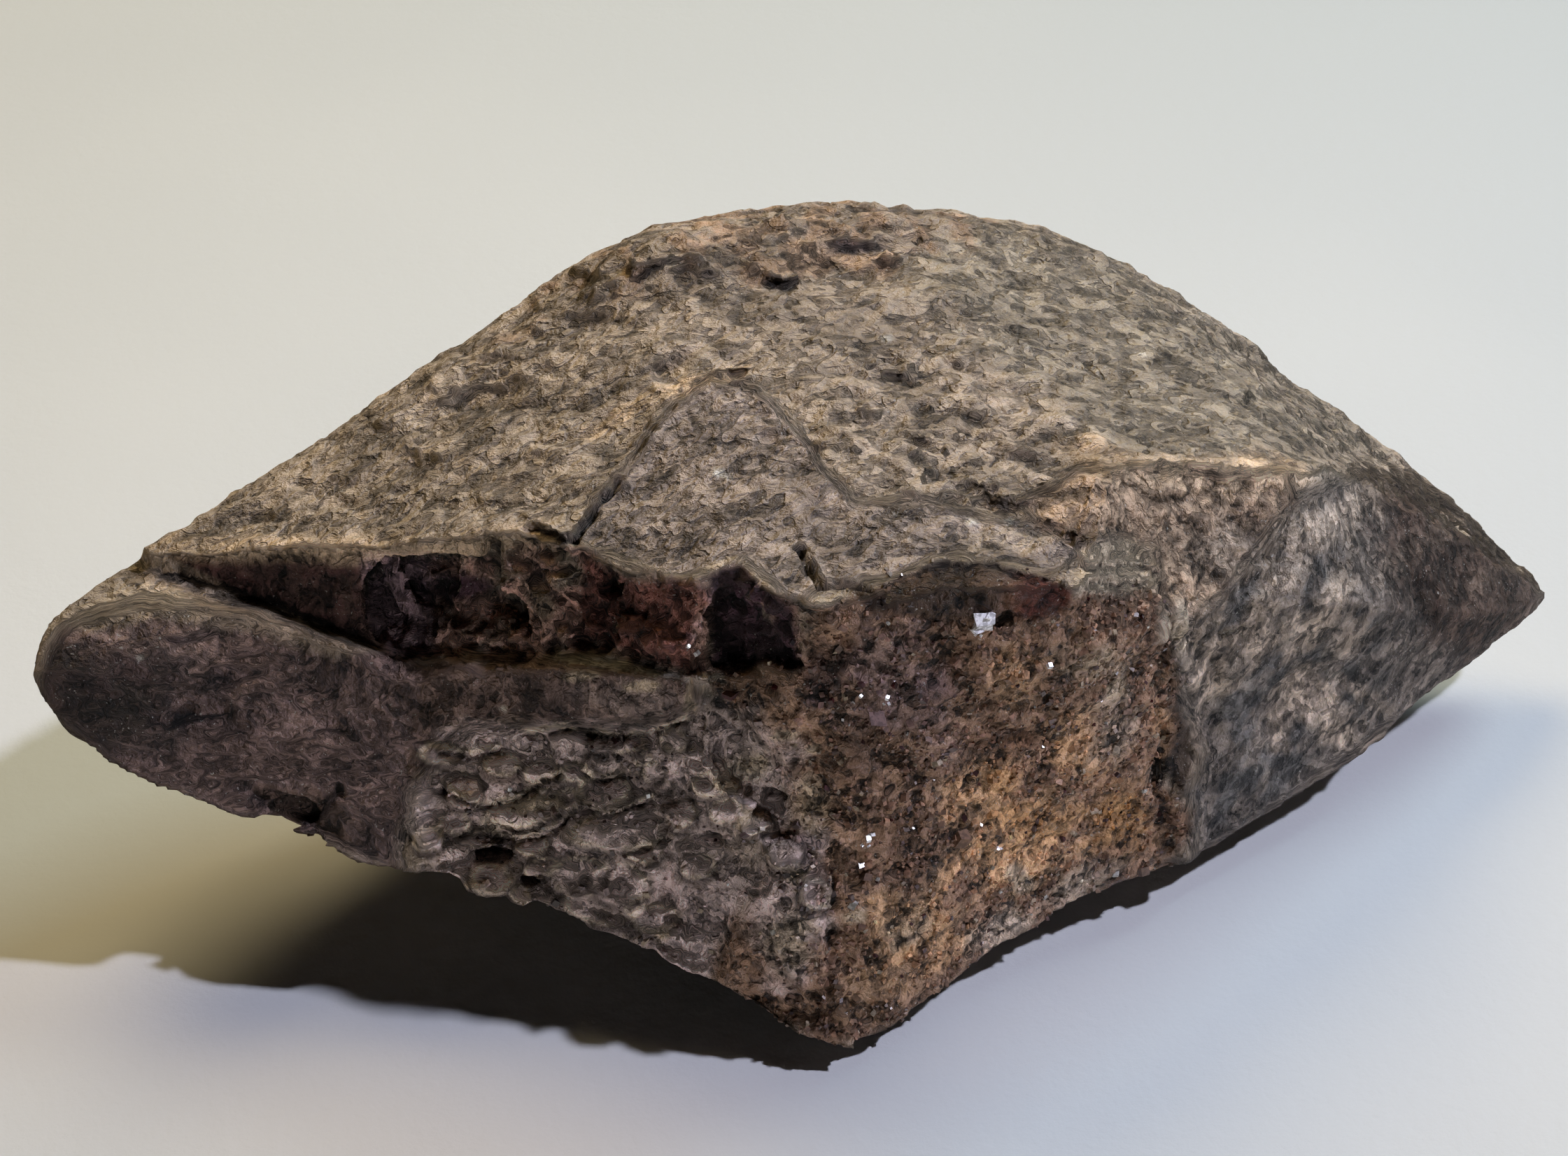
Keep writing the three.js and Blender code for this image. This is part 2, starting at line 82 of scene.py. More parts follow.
ahead = AHEAD / np.linalg.norm(AHEAD)
across = np.cross(ahead, [0, 0, 1])
across /= np.linalg.norm(across)
upward = np.cross(across, ahead)

# ---- Pigments: linear colour of each kind of weathered skin, and of painted shade, shadow and highlights ----

EARTH = (0.336, 0.260, 0.200)
GREY_PLATE = (0.242, 0.188, 0.169)
OLIVE_SKIN = (0.265, 0.223, 0.169)
TAN_DUST = (0.430, 0.330, 0.235)
YELLOW_DUST = (0.690, 0.482, 0.312)
ORANGE_DUST = (0.404, 0.230, 0.133)
CREST_EARTH = (0.249, 0.189, 0.145)
CHAMFER = (0.401, 0.265, 0.178)
SLATE = (0.173, 0.142, 0.126)
SLATE_BLUE = (0.075, 0.077, 0.081)
END_BROWN = (0.051, 0.028, 0.020)
PIT_VIOLET = (0.304, 0.189, 0.244)
# Dark red-brown of the wall under the lip, darkened further as painted shade.
WEDGE_BROWN_AND_SHADE = (0.036, 0.007, 0.010)
# Painted shade over the tip of the left end.
NOSE_PAINTED_SHADE = (0.008, 0.003, 0.003)
NOSE_BROWN = (0.129, 0.080, 0.072)
# Pale rims of chips: dust, and a painted highlight where light would catch them.
CHIP_RIM_DUST_AND_HIGHLIGHT = (0.90, 0.74, 0.60)
NODULE_GREY = (0.681, 0.526, 0.522)
FRESH_BREAK = (0.244, 0.131, 0.082)
VIOLET_BREAK = (0.203, 0.123, 0.113)
RUST = (0.719, 0.393, 0.191)
OCHRE = (0.405, 0.193, 0.065)
# Very dark brown, laid mostly as painted shade in the pits.
DARK_BROWN_AND_PIT_SHADE = (0.033, 0.013, 0.023)
RED_BROWN = (0.165, 0.056, 0.045)
AMBER = (0.053, 0.005, 0.003)
UNDERSIDE = (0.054, 0.042, 0.034)
# Pale scratches and specks; also laid on the slab's ledges as a painted highlight.
PALE_SCRATCH_AND_LEDGE_HIGHLIGHT = (0.62, 0.58, 0.53)
LIGHT_TAN = (0.529, 0.407, 0.289)
# Painted shadow under the plate's overhanging front edge.
UNDER_PLATE_SHADOW = (0.028, 0.015, 0.010)
# Painted shade in hollows near the crest.
CREST_PAINTED_SHADE = (0.148, 0.102, 0.092)
# Painted shadow in the gaps under and around chips.
CHIP_GAP_PAINTED_SHADOW = (0.030, 0.020, 0.018)
END_TAN = (0.635, 0.488, 0.382)
WALL_RUST = (0.702, 0.366, 0.308)
# Painted shade in the groove, in cracks and under the lower edge.
GROOVE_PAINTED_SHADE = (0.026, 0.014, 0.010)
PAPER = (0.80, 0.80, 0.80)
PAPER_LIGHT = (0.84, 0.835, 0.83)
# Paper tinted bluer towards the far right as painted cool light.
PAPER_FAR_COOL_LIGHT = (0.82, 0.86, 0.93)
# Near-white of the glinting grains, partly a painted glint.
CLEAR_CALCITE_AND_GLINT = (0.90, 0.86, 0.88)


# ---- Modelling helpers ----


def only(piece):
    """Leaves this piece alone selected and active."""
    bpy.ops.object.select_all(action="DESELECT")
    piece.select_set(True)
    bpy.context.view_layer.objects.active = piece


def apply_modifier(piece, kind, **settings):
    """Adds one modifier, sets it and applies it."""
    modifier = piece.modifiers.new(kind.title(), kind)
    for name, value in settings.items():
        setattr(modifier, name, value)
    only(piece)
    bpy.ops.object.modifier_apply(modifier=modifier.name)


def points_of(piece):
    """The vertices of a piece in millimetres, as an array."""
    flat = np.empty(len(piece.data.vertices) * 3, np.float32)
    piece.data.vertices.foreach_get("co", flat)
    return flat.reshape(-1, 3).astype(float) / MM


def normals_of(piece):
    """The directions that the vertices of a piece face."""
    flat = np.empty(len(piece.data.vertices) * 3, np.float32)
    piece.data.vertex_normals.foreach_get("vector", flat)
    return flat.reshape(-1, 3).astype(float)


def put_points(piece, points):
    """Moves the vertices of a piece to points in millimetres."""
    piece.data.vertices.foreach_set("co", (points * MM).astype(np.float32).ravel())
    piece.data.update()


def links_of(piece):
    """The edges of a piece as two arrays of vertex numbers."""
    flat = np.empty(len(piece.data.edges) * 2, np.int32)
    piece.data.edges.foreach_get("vertices", flat)
    return flat.reshape(-1, 2).T


def relaxed(values, links, rounds):
    """Each vertex's value averaged with its neighbours' that many times."""
    a, b = links
    count = np.bincount(a, minlength=len(values)) + np.bincount(b, minlength=len(values)) + 1.0
    smooth = values.astype(float).reshape(len(values), -1).copy()
    for _ in range(rounds):
        for k in range(smooth.shape[1]):
            column = smooth[:, k]
            total = column + np.bincount(a, column[b], len(column)) + np.bincount(b, column[a], len(column))
            smooth[:, k] = total / count
    return smooth.reshape(values.shape)


def smoothstep(low, high, value):
    """0 at low and 1 at high, with a soft start and a soft end."""
    t = np.clip((value - low) / (high - low), 0, 1)
    return t * t * (3 - 2 * t)


def sight(points):
    """Where points stand on the working view, across and down, and how far off they are."""
    offset = points - EYE
    depth = offset @ ahead
    return (
        VIEW_SIZE[0] / 2 + VIEW_SCALE * (offset @ across) / depth,
        VIEW_SIZE[1] / 2 - VIEW_SCALE * (offset @ upward) / depth,
        depth,
    )


def ray_through(u, v):
    """Direction from the eye through one place of the working view."""
    direction = ahead + (u - VIEW_SIZE[0] / 2) / VIEW_SCALE * across
    direction = direction + (VIEW_SIZE[1] / 2 - v) / VIEW_SCALE * upward
    return direction / np.linalg.norm(direction)


def polygon_depth(outline, u, v):
    """Distance to an outline, positive inside it."""
    inside = np.zeros(len(u), bool)
    nearest = np.full(len(u), 1e9)
    for (u0, v0), (u1, v1) in zip(outline, outline[1:] + outline[:1]):
        crosses = (v0 > v) != (v1 > v)
        with np.errstate(divide="ignore", invalid="ignore"):
            inside ^= crosses & (u < (u1 - u0) * (v - v0) / (v1 - v0) + u0)
        length = (u1 - u0) ** 2 + (v1 - v0) ** 2
        t = np.clip(((u - u0) * (u1 - u0) + (v - v0) * (v1 - v0)) / length, 0, 1)
        nearest = np.minimum(nearest, np.hypot(u - u0 - t * (u1 - u0), v - v0 - t * (v1 - v0)))
    return np.where(inside, nearest, -nearest)


def cloud(points, size, seed, octaves=3):
    """Soft fractal noise around 0, with bumps of about that size."""
    shift = np.array([seed * 17.3, seed * 5.1, seed * 9.7])
    return np.array([noise.fractal(p, 1.0, 2.0, octaves) for p in points / size + shift])


class Survey:
    """The skin as seen from the working view, with marks laid on it in that view's units."""

    def __init__(self, piece):
        self.points = points_of(piece)
        self.normals = normals_of(piece)
        self.links = links_of(piece)
        self.u, self.v, self.depth = sight(self.points)
        to_eye = EYE - self.points
        to_eye /= np.linalg.norm(to_eye, axis=1)[:, None]
        facing = smoothstep(-0.12, 0.12, (self.normals * to_eye).sum(1))
        self.seen = facing * self.clear()
        self.fray = cloud(self.points, 2.6, 3, 4)
        self.fine_fray = cloud(self.points, 0.8, 5, 2)
        graph = bpy.context.evaluated_depsgraph_get()
        self.tree = BVHTree.FromObject(piece, graph)

    def clear(self):
        """1 where nothing nearer stands in front."""
        cell, columns, rows = 9, 300, 200
        column = np.clip(self.u // cell, 0, columns - 1).astype(int)
        row = np.clip(self.v // cell, 0, rows - 1).astype(int)
        nearest = np.full((columns, rows), 1e9)
        np.minimum.at(nearest, (column, row), self.depth)
        return 1 - smoothstep(1.6, 3.0, self.depth - nearest[column, row])

    def hit(self, u, v):
        """The place on the skin behind one place of the working view."""
        found = self.tree.ray_cast(Vector(EYE * MM), Vector(ray_through(u, v)))
        if found[0] is None:
            return None
        return np.array(found[0]) / MM

    def mean_normal(self, place, reach=1.2):
        """The way the skin faces around a place."""
        near = np.linalg.norm(self.points - place, axis=1) < reach
        mean = (self.normals[near] * self.seen[near][:, None]).sum(0) if near.any() else np.zeros(3)
        if np.linalg.norm(mean) < 1e-6:
            mean = -ray_through(*[c[0] for c in sight(place[None])[:2]])
        return mean / np.linalg.norm(mean)

    def zone(self, outline, soft=12, fray=0):
        """1 inside an outline of the working view, with an edge that is soft and frayed."""
        depth = polygon_depth(outline, self.u, self.v)
        return smoothstep(-soft, soft, depth + fray * self.fray) * self.seen

    def dab(self, u, v, wide, high, turn=0, soft=0.5, fray=0.0):
        """1 inside a turned ellipse of the working view."""
        c, s = math.cos(math.radians(turn)), math.sin(math.radians(turn))
        du, dv = self.u - u, self.v - v
        distance = np.hypot((du * c - dv * s) / wide, (du * s + dv * c) / high)
        return (1 - smoothstep(1 - soft, 1, distance + fray * self.fray)) * self.seen

    def under(self, places):
        """How far down from a line across the working view each vertex is, and 1 between the line's ends."""
        us, vs = np.array(places, float).T
        drop = self.v + 3.0 * self.fine_fray - np.interp(self.u, us, vs)
        ends = smoothstep(us[0] - 3, us[0] + 6, self.u) * smoothstep(us[-1] + 3, us[-1] - 6, self.u)
        return drop, ends

    def below(self, places, reach):
        """1 right under such a line, falling to 0 at that reach below it."""
        drop, ends = self.under(places)
        return smoothstep(-1.5, 2.5, drop) * smoothstep(reach, 0.35 * reach, drop) * ends * self.seen

    def rim(self, places, high=8):
        """1 on the skin right above such a line."""
        drop, ends = self.under(places)
        return smoothstep(-high, -0.4 * high, drop) * smoothstep(1.5, -1.5, drop) * ends * self.seen

    def line(self, places):
        """Distance in millimetres of each vertex to a line laid on the skin."""
        spots = [spot for spot in (self.hit(*place) for place in places) if spot is not None]
        nearest = np.full(len(self.points), 1e9)
        for a, b in zip(spots, spots[1:]):
            t = np.clip((self.points - a) @ (b - a) / max((b - a) @ (b - a), 1e-9), 0, 1)
            nearest = np.minimum(nearest, np.linalg.norm(self.points - a - t[:, None] * (b - a), axis=1))
        return nearest


# ---- The stone ----

# Outlines of the surfaces, in the units of the working view.
ROUGH_FRONT = [
    (1040, 772), (1130, 745), (1190, 720), (1250, 722), (1330, 735), (1370, 758), (1474, 765), (1482, 800),
    (1500, 850), (1496, 930), (1484, 1000), (1520, 1040), (1515, 1078), (1480, 1112), (1380, 1152),
    (1270, 1212), (1150, 1302), (1065, 1338), (940, 1265), (905, 1250), (930, 1180), (985, 1110),
    (1010, 1040), (985, 960), (930, 900), (900, 858), (1020, 850),
]
CRUMBLY = [
    (560, 935), (640, 925), (740, 930), (850, 925), (890, 900), (930, 900), (985, 960), (1010, 1040),
    (985, 1110), (930, 1180), (905, 1250), (830, 1212), (680, 1152), (560, 1107), (540, 1040),
]
NOSE = [
    (45, 870), (75, 805), (130, 775), (200, 768), (330, 775), (430, 808), (520, 835), (700, 836),
    (880, 862), (890, 900), (850, 925), (720, 925), (600, 925), (560, 960), (520, 1010), (500, 1105),
    (340, 1055), (220, 1015), (150, 985), (60, 910),
]
SHELF = [
    (80, 790), (100, 750), (150, 712), (205, 700), (240, 742), (330, 768), (420, 796), (480, 828),
    (430, 836), (330, 806), (200, 786), (120, 802),
]
WEDGE_WALL = [(214, 708), (300, 710), (400, 706), (480, 704), (480, 826), (400, 794), (300, 757)]
DEEP_PIT = [(462, 703), (600, 703), (640, 716), (700, 790), (692, 838), (600, 834), (500, 838), (470, 800)]
LEFT_ALCOVE = [(743, 706), (800, 738), (884, 745), (883, 858), (740, 812)]
RIGHT_ALCOVE = [(905, 735), (945, 720), (1012, 776), (1022, 848), (905, 850)]
BROKEN_WALL = [
    (470, 705), (560, 712), (640, 716), (668, 690), (735, 700), (800, 732), (880, 742), (905, 738),
    (945, 722), (1015, 778), (1024, 846), (960, 850), (880, 858), (760, 822), (690, 838), (600, 834),
    (500, 838), (462, 800),
]
TOP_FACES = [
    (180, 690), (300, 640), (500, 560), (800, 480), (1400, 500), (1375, 752), (1300, 724), (1200, 712),
    (1125, 744), (1046, 772), (1008, 777), (972, 745), (936, 714), (882, 740), (850, 738), (790, 714),
    (735, 694), (690, 700), (560, 704), (430, 706), (300, 704), (205, 698),
]
# Front edges of the top faces, pale where they are worn.
PLATE_RIM = [
    (672, 690), (735, 692), (790, 712), (850, 736), (882, 738), (936, 714), (972, 744), (1008, 776),
]
SMALL_RIMS = [
    [(1046, 770), (1125, 744), (1200, 712), (1290, 722), (1366, 752)],
    [(205, 696), (300, 702), (430, 704), (560, 702), (690, 690)],
]
# Top edges of the slab under the pits, given pale paint as a painted highlight of the light on these ledges.
SLAB_RIMS = [
    [(462, 812), (500, 822), (560, 838), (600, 834), (700, 840), (800, 856), (884, 868)],
    [(884, 862), (900, 866), (925, 872)],
]
CHAMFER_RUGGED = [
    (1375, 560), (1440, 560), (1560, 590), (1660, 600), (1660, 660), (1620, 760), (1560, 850), (1500, 830),
    (1478, 700), (1440, 680), (1390, 680), (1360, 640),
]
VALLEY = [
    (1050, 470), (1180, 430), (1300, 490), (1400, 550), (1425, 600), (1385, 690), (1280, 665), (1180, 640),
    (1100, 610), (1060, 540),
]
AMBER_SPOT = [
    (1078, 746), (1125, 752), (1150, 740), (1202, 714), (1263, 718), (1324, 734), (1370, 750), (1364, 776),
    (1325, 792), (1200, 790), (1110, 782),
]
PLATE = [
    (735, 690), (760, 640), (790, 600), (830, 545), (860, 510), (905, 480), (960, 500), (1010, 540),
    (1050, 600), (1090, 640), (1180, 640), (1280, 660), (1372, 690), (1375, 712), (1330, 730), (1250, 716),
    (1190, 714), (1130, 738), (1040, 750), (1020, 768), (985, 742), (950, 715), (930, 730), (880, 735),
    (820, 728), (770, 705),
]
PLATE_BACK = [(940, 490), (1010, 540), (1050, 600), (1090, 640), (1180, 640), (1280, 660), (1372, 690)]
CREST = [
    (640, 395), (720, 345), (800, 310), (900, 270), (1000, 250), (1100, 250), (1180, 255), (1250, 285),
    (1200, 320), (1130, 345), (1060, 350), (1000, 372), (930, 352), (860, 352), (780, 372), (700, 400),
    (650, 420),
]
TOP_RIGHT = [
    (1180, 260), (1280, 268), (1430, 308), (1490, 360), (1560, 400), (1620, 450), (1740, 540), (1790, 600),
    (1700, 590), (1560, 600), (1440, 590), (1400, 560), (1300, 480), (1200, 400), (1150, 340),
]
CHAMFER_FACE = [
    (1375, 598), (1440, 595), (1560, 605), (1640, 600), (1650, 640), (1600, 700), (1560, 760), (1500, 790),
    (1480, 760), (1470, 700), (1440, 680), (1380, 690), (1320, 660), (1300, 640),
]
SMALL_STEP = [(1375, 700), (1440, 690), (1470, 710), (1476, 748), (1400, 757), (1370, 750)]
RIGHT_END = [
    (1480, 790), (1560, 760), (1650, 640), (1740, 600), (1800, 610), (1880, 665), (1975, 755), (1950, 805),
    (1870, 858), (1750, 945), (1650, 1015), (1570, 1070), (1525, 1095), (1518, 1040), (1535, 960),
    (1497, 850),
]
END_TIP = [
    (1740, 600), (1800, 600), (1880, 660), (1980, 760), (1950, 805), (1870, 860), (1800, 800), (1760, 700),
]
BLUE_STREAKS = [
    (1575, 700), (1640, 680), (1720, 740), (1760, 800), (1740, 900), (1620, 1020), (1540, 1060),
    (1560, 900),
]

# Chips that stand on the skin: place on the working view, half length and half height in
# millimetres, turn in degrees, and how far the lower edge tips out.
FLAKES = [
    (791, 949, 2.1, 0.65, 4, 14), (860, 944, 1.1, 0.9, 0, 10), (771, 971, 1.1, 0.7, -25, 12),
    (824, 961, 0.4, 0.4, 0, 0), (809, 980, 0.45, 0.4, 0, 0), (832, 984, 0.75, 0.8, 0, 8),
    (846, 1000, 0.5, 0.35, 10, 0), (771, 1007, 2.2, 1.2, 3, 16), (667, 1033, 3.2, 1.3, 18, 16),
    (592, 1007, 1.3, 1.3, -10, 14), (611, 1069, 1.6, 0.6, 0, 14), (679, 1078, 1.4, 0.8, 5, 14),
    (690, 1105, 1.5, 0.6, 20, 14), (628, 1120, 1.8, 1.3, 0, 10), (664, 1141, 0.9, 0.7, -35, 6),
    (783, 1058, 3.4, 1.5, 6, 16), (824, 1088, 1.4, 0.8, 0, 14), (735, 1112, 2.2, 1.3, 10, 12),
    (790, 1126, 2.2, 1.5, -10, 12), (760, 1160, 2.6, 1.0, -14, 8), (835, 1170, 1.8, 1.2, 0, 8),
    (725, 1020, 0.9, 0.8, 30, 10), (735, 985, 1.2, 0.7, 10, 12), (690, 985, 1.4, 0.8, 10, 12),
    (640, 975, 1.5, 0.9, 5, 12), (580, 1050, 1.2, 0.8, 0, 12), (870, 1040, 1.2, 1.0, 20, 10),
    (905, 1000, 1.4, 1.0, 10, 8), (925, 1035, 1.3, 0.9, 25, 8), (965, 1052, 1.1, 0.6, 35, 8),
    (890, 1105, 1.4, 1.0, 0, 8), (1000, 1090, 1.3, 1.1, 0, 6), (1040, 1140, 1.1, 1.2, 0, 6),
    (560, 960, 1.5, 0.8, 0, 10), (545, 1070, 1.2, 1.0, 0, 8), (600, 1140, 1.0, 0.6, -30, 4),
]
RUBBLE = [
    (596, 806, 1.0, 0.45, -8, 0), (625, 815, 0.9, 0.7, 0, 0), (650, 805, 1.0, 0.9, 30, 0),
    (640, 782, 0.9, 0.7, 0, 0), (668, 815, 0.9, 0.8, 0, 0), (690, 822, 0.9, 0.5, 0, 0),
    (557, 730, 0.8, 0.8, 20, 0), (530, 720, 1.2, 0.5, -10, 0), (751, 732, 0.5, 0.45, 0, 0),
    (743, 748, 0.9, 0.3, -12, 0), (747, 775, 0.7, 0.4, -10, 0), (765, 795, 0.8, 0.5, 0, 0),
    (870, 825, 1.4, 1.0, 0, 0), (845, 812, 1.5, 0.9, -20, 0), (815, 800, 1.5, 0.9, -10, 0),
    (800, 820, 1.3, 0.6, -10, 0), (885, 790, 0.8, 1.6, 0, 0), (892, 760, 0.7, 1.2, 0, 0),
    (888, 835, 0.9, 1.1, 0, 0), (915, 815, 0.8, 1.1, 30, 0), (1046, 766, 1.0, 0.5, 5, 0),
    (700, 760, 1.3, 1.2, 0, 0), (720, 800, 1.2, 1.1, 0, 0), (660, 735, 1.0, 0.9, 0, 0),
    (715, 735, 1.3, 1.0, 0, 0), (690, 790, 0.9, 1.0, 0, 0),
]
CREST_KNOBS = [
    (995, 352, 1.4, 0.7, -12, 0), (965, 340, 0.9, 0.6, 0, 0), (1050, 297, 2.6, 0.6, 0, 0),
    (940, 295, 2.0, 0.6, 8, 0), (1090, 300, 1.6, 0.6, -6, 0), (870, 330, 1.5, 0.7, 6, 0),
    (1005, 285, 1.5, 0.5, 0, 0), (820, 335, 1.2, 0.6, 10, 0), (905, 345, 1.3, 0.6, 0, 0),
    (760, 365, 1.3, 0.6, 20, 0), (1120, 325, 1.3, 0.5, 0, 0),
]
VALLEY_FLAKES = [
    (1225, 575, 1.8, 0.45, -14, 8), (1168, 553, 1.2, 0.45, -20, 8), (1250, 612, 1.4, 0.45, -12, 8),
    (1290, 628, 1.4, 0.5, -14, 8), (1205, 545, 1.2, 0.4, -10, 8), (1150, 575, 1.3, 0.5, -20, 8),
    (1110, 520, 1.2, 0.4, -20, 8), (1190, 500, 1.3, 0.4, -16, 8), (1260, 550, 1.3, 0.4, -16, 8),
    (1090, 560, 1.3, 0.45, -30, 8), (1060, 610, 1.1, 0.4, -40, 8), (1330, 610, 1.4, 0.4, -16, 8),
    (1300, 570, 1.2, 0.4, -16, 8), (1240, 520, 1.1, 0.4, -16, 8),
]
GROOVE_FILLING = [
    (1490, 800, 1.3, 1.9, 0, 0), (1500, 835, 0.9, 1.2, 0, 0), (1512, 990, 1.2, 1.6, 0, 0),
    (1512, 1035, 1.5, 1.6, 0, 0), (1514, 1075, 1.5, 1.3, 0, 0), (1524, 955, 0.9, 1.2, 0, 0),
]
# Each kind of chip with its half thickness (none where a chip's size sets it), how deep its middle
# sits, and how knobbly it is.
CHIP_KINDS = [
    (FLAKES, 0.62, -0.1, 0.22), (RUBBLE, None, 0.0, 0.35), (CREST_KNOBS, 0.6, 0.15, 0.4),
    (VALLEY_FLAKES, 0.45, 0.05, 0.3), (GROOVE_FILLING, 1.0, 0.1, 0.25),
]
# Holes taken out of the skin: place, half length and half height, turn, and depth.
HOLES = [
    (624, 1088, 1.7, 0.6, 0, 1.8), (673, 1122, 0.8, 0.5, 0, 1.2), (987, 1012, 1.0, 0.45, 22, 1.3),
    (966, 1038, 0.7, 0.3, 50, 0.9), (909, 1069, 0.9, 0.35, 0, 1.1), (371, 1034, 1.7, 1.1, 15, 1.1),
    (627, 706, 0.6, 1.0, 0, 1.3), (1283, 793, 0.9, 0.5, 0, 0.7), (778, 741, 0.6, 0.9, -30, 1.5),
    (796, 808, 0.9, 0.35, -8, 0.9), (1010, 360, 0.7, 0.3, 0, 0.35),
]
# Dents pressed into the skin: place, half length and half height in units of the view, turn, depth.
DENTS = [
    (1082, 316, 52, 15, 0, 0.5), (1000, 358, 20, 9, 0, 0.3), (864, 341, 22, 9, 0, 0.3),
    (682, 427, 22, 10, -10, 0.4), (1130, 334, 30, 8, 8, 0.6), (1489, 790, 20, 60, 0, -0.6),
    (607, 466, 34, 22, 15, 0.5), (866, 454, 32, 18, 40, 0.7), (650, 500, 34, 9, 0, 0.25),
    (665, 545, 36, 10, 5, 0.25), (560, 545, 30, 8, -8, 0.25), (520, 585, 34, 8, -5, 0.2),
    (635, 618, 38, 11, 0, 0.3), (760, 410, 46, 11, -5, 0.4), (720, 442, 28, 9, 0, 0.3),
    (575, 520, 28, 10, 8, 0.25), (1462, 558, 10, 8, 0, 0.5), (1534, 482, 10, 8, 0, 0.4),
    (1599, 509, 16, 10, 0, 0.4), (1130, 455, 34, 10, -20, 0.5), (1818, 760, 14, 60, 20, 0.4),
    (1628, 627, 18, 12, 0, 0.3), (240, 914, 50, 16, 14, 0.5), (1150, 475, 40, 18, -25, 0.7),
    (1176, 513, 14, 9, 0, 0.7), (1200, 598, 34, 9, 20, 0.8), (1270, 636, 42, 12, 20, 0.6),
    (1335, 664, 40, 12, 22, 0.35), (880, 350, 30, 10, -5, 0.25), (735, 352, 26, 12, -15, 0.35),
    (820, 345, 30, 10, -10, 0.25), (950, 560, 60, 14, 10, 0.3), (700, 470, 30, 9, 0, 0.4),
    (1290, 350, 30, 10, -30, 0.4), (1340, 410, 26, 8, -35, 0.4), (1400, 470, 26, 8, -35, 0.35),
    (1422, 670, 12, 14, 0, 0.3), (1572, 665, 14, 12, 0, 0.2), (440, 640, 34, 8, -4, 0.4),
    (330, 660, 30, 7, -4, 0.35), (480, 545, 24, 8, -10, 0.4), (700, 560, 30, 8, 4, 0.4),
    (300, 870, 40, 18, 10, 0.3), (160, 860, 30, 20, 0, 0.3), (420, 930, 36, 14, 10, 0.3),
]
# Cracks: places along them, half width and depth, and how far the lips stand up.
CRACKS = [
    ([(735, 690), (748, 668), (760, 652), (772, 636), (790, 610)], 0.26, 0.75, 0.12),
    ([(790, 610), (815, 572), (842, 535)], 0.24, 0.15, 0.2),
    ([(842, 535), (866, 505), (900, 482), (945, 474)], 0.3, 0.1, 0.22),
    ([(672, 672), (700, 684), (735, 690)], 0.3, 0.8, 0.15),
    ([(1021, 700), (1034, 725), (1048, 744)], 0.3, 0.9, 0.15),
    ([(1048, 744), (1080, 742), (1110, 752)], 0.3, 0.5, 0.1),
    ([(711, 933), (749, 937), (790, 941)], 0.26, 0.4, 0.0),
    ([(847, 1050), (847, 1101), (854, 1143), (860, 1177)], 0.4, 0.6, 0.0),
    ([(1470, 732), (1482, 781), (1480, 826)], 0.3, 0.0, 0.25),
    ([(1413, 603), (1402, 630), (1400, 655), (1385, 690)], 0.3, 0.25, 0.15),
    ([(1194, 594), (1221, 606), (1266, 632), (1319, 656), (1364, 680)], 0.3, 0.25, 0.1),
    ([(1290, 650), (1330, 640), (1375, 690)], 0.3, 0.0, 0.1),
    ([(881, 870), (880, 900), (882, 930), (881, 956)], 0.26, 0.0, 0.22),
    ([(1060, 1080), (1062, 1150), (1060, 1220), (1062, 1300)], 0.4, 0.3, 0.0),
    ([(330, 1010), (400, 1040), (430, 1010)], 0.5, 0.4, 0.0),
]
# Edges that the skin below draws back from: places along them, how far down that reaches and how deep.
UNDERCUTS = [
    ([(1077, 741), (1121, 751), (1146, 739), (1202, 714), (1263, 718), (1324, 734), (1361, 748)], 34, 0.7),
    ([(711, 930), (749, 936), (790, 940), (830, 936), (851, 928), (881, 916)], 7, 0.9),
    ([(667, 935), (700, 932), (727, 924)], 6, 0.6),
    ([(562, 998), (588, 1017), (613, 1027), (660, 1017), (698, 991), (724, 979)], 8, 0.9),
    ([(584, 1063), (622, 1062), (660, 1068), (703, 1058), (732, 1037)], 9, 1.0),
    ([(620, 1047), (660, 1056), (700, 1047)], 8, 0.7),
    ([(740, 1030), (775, 1037), (810, 1024), (835, 1018)], 7, 0.8),
    ([(792, 1086), (815, 1083), (839, 1072), (858, 1070)], 8, 0.9),
    ([(740, 985), (770, 992), (800, 985)], 8, 0.8),
    ([(560, 955), (600, 962), (640, 952)], 8, 0.6),
    ([(900, 1248), (940, 1262), (990, 1270), (1040, 1262), (1052, 1262)], 60, 1.5),
    ([(1381, 712), (1415, 720), (1450, 716), (1472, 722)], 8, 0.4),
    ([(1378, 735), (1420, 741), (1460, 738)], 8, 0.4),
    ([(1200, 604), (1232, 618), (1270, 640), (1320, 662)], 8, 0.3),
    ([(1130, 470), (1165, 478), (1190, 470)], 7, 0.5),
    ([(975, 350), (1000, 356), (1022, 352)], 9, 0.6),
]
# Those of them that are the edge of one chip.
CHIP_EDGES = [places for places, _, _ in UNDERCUTS[1:10]]
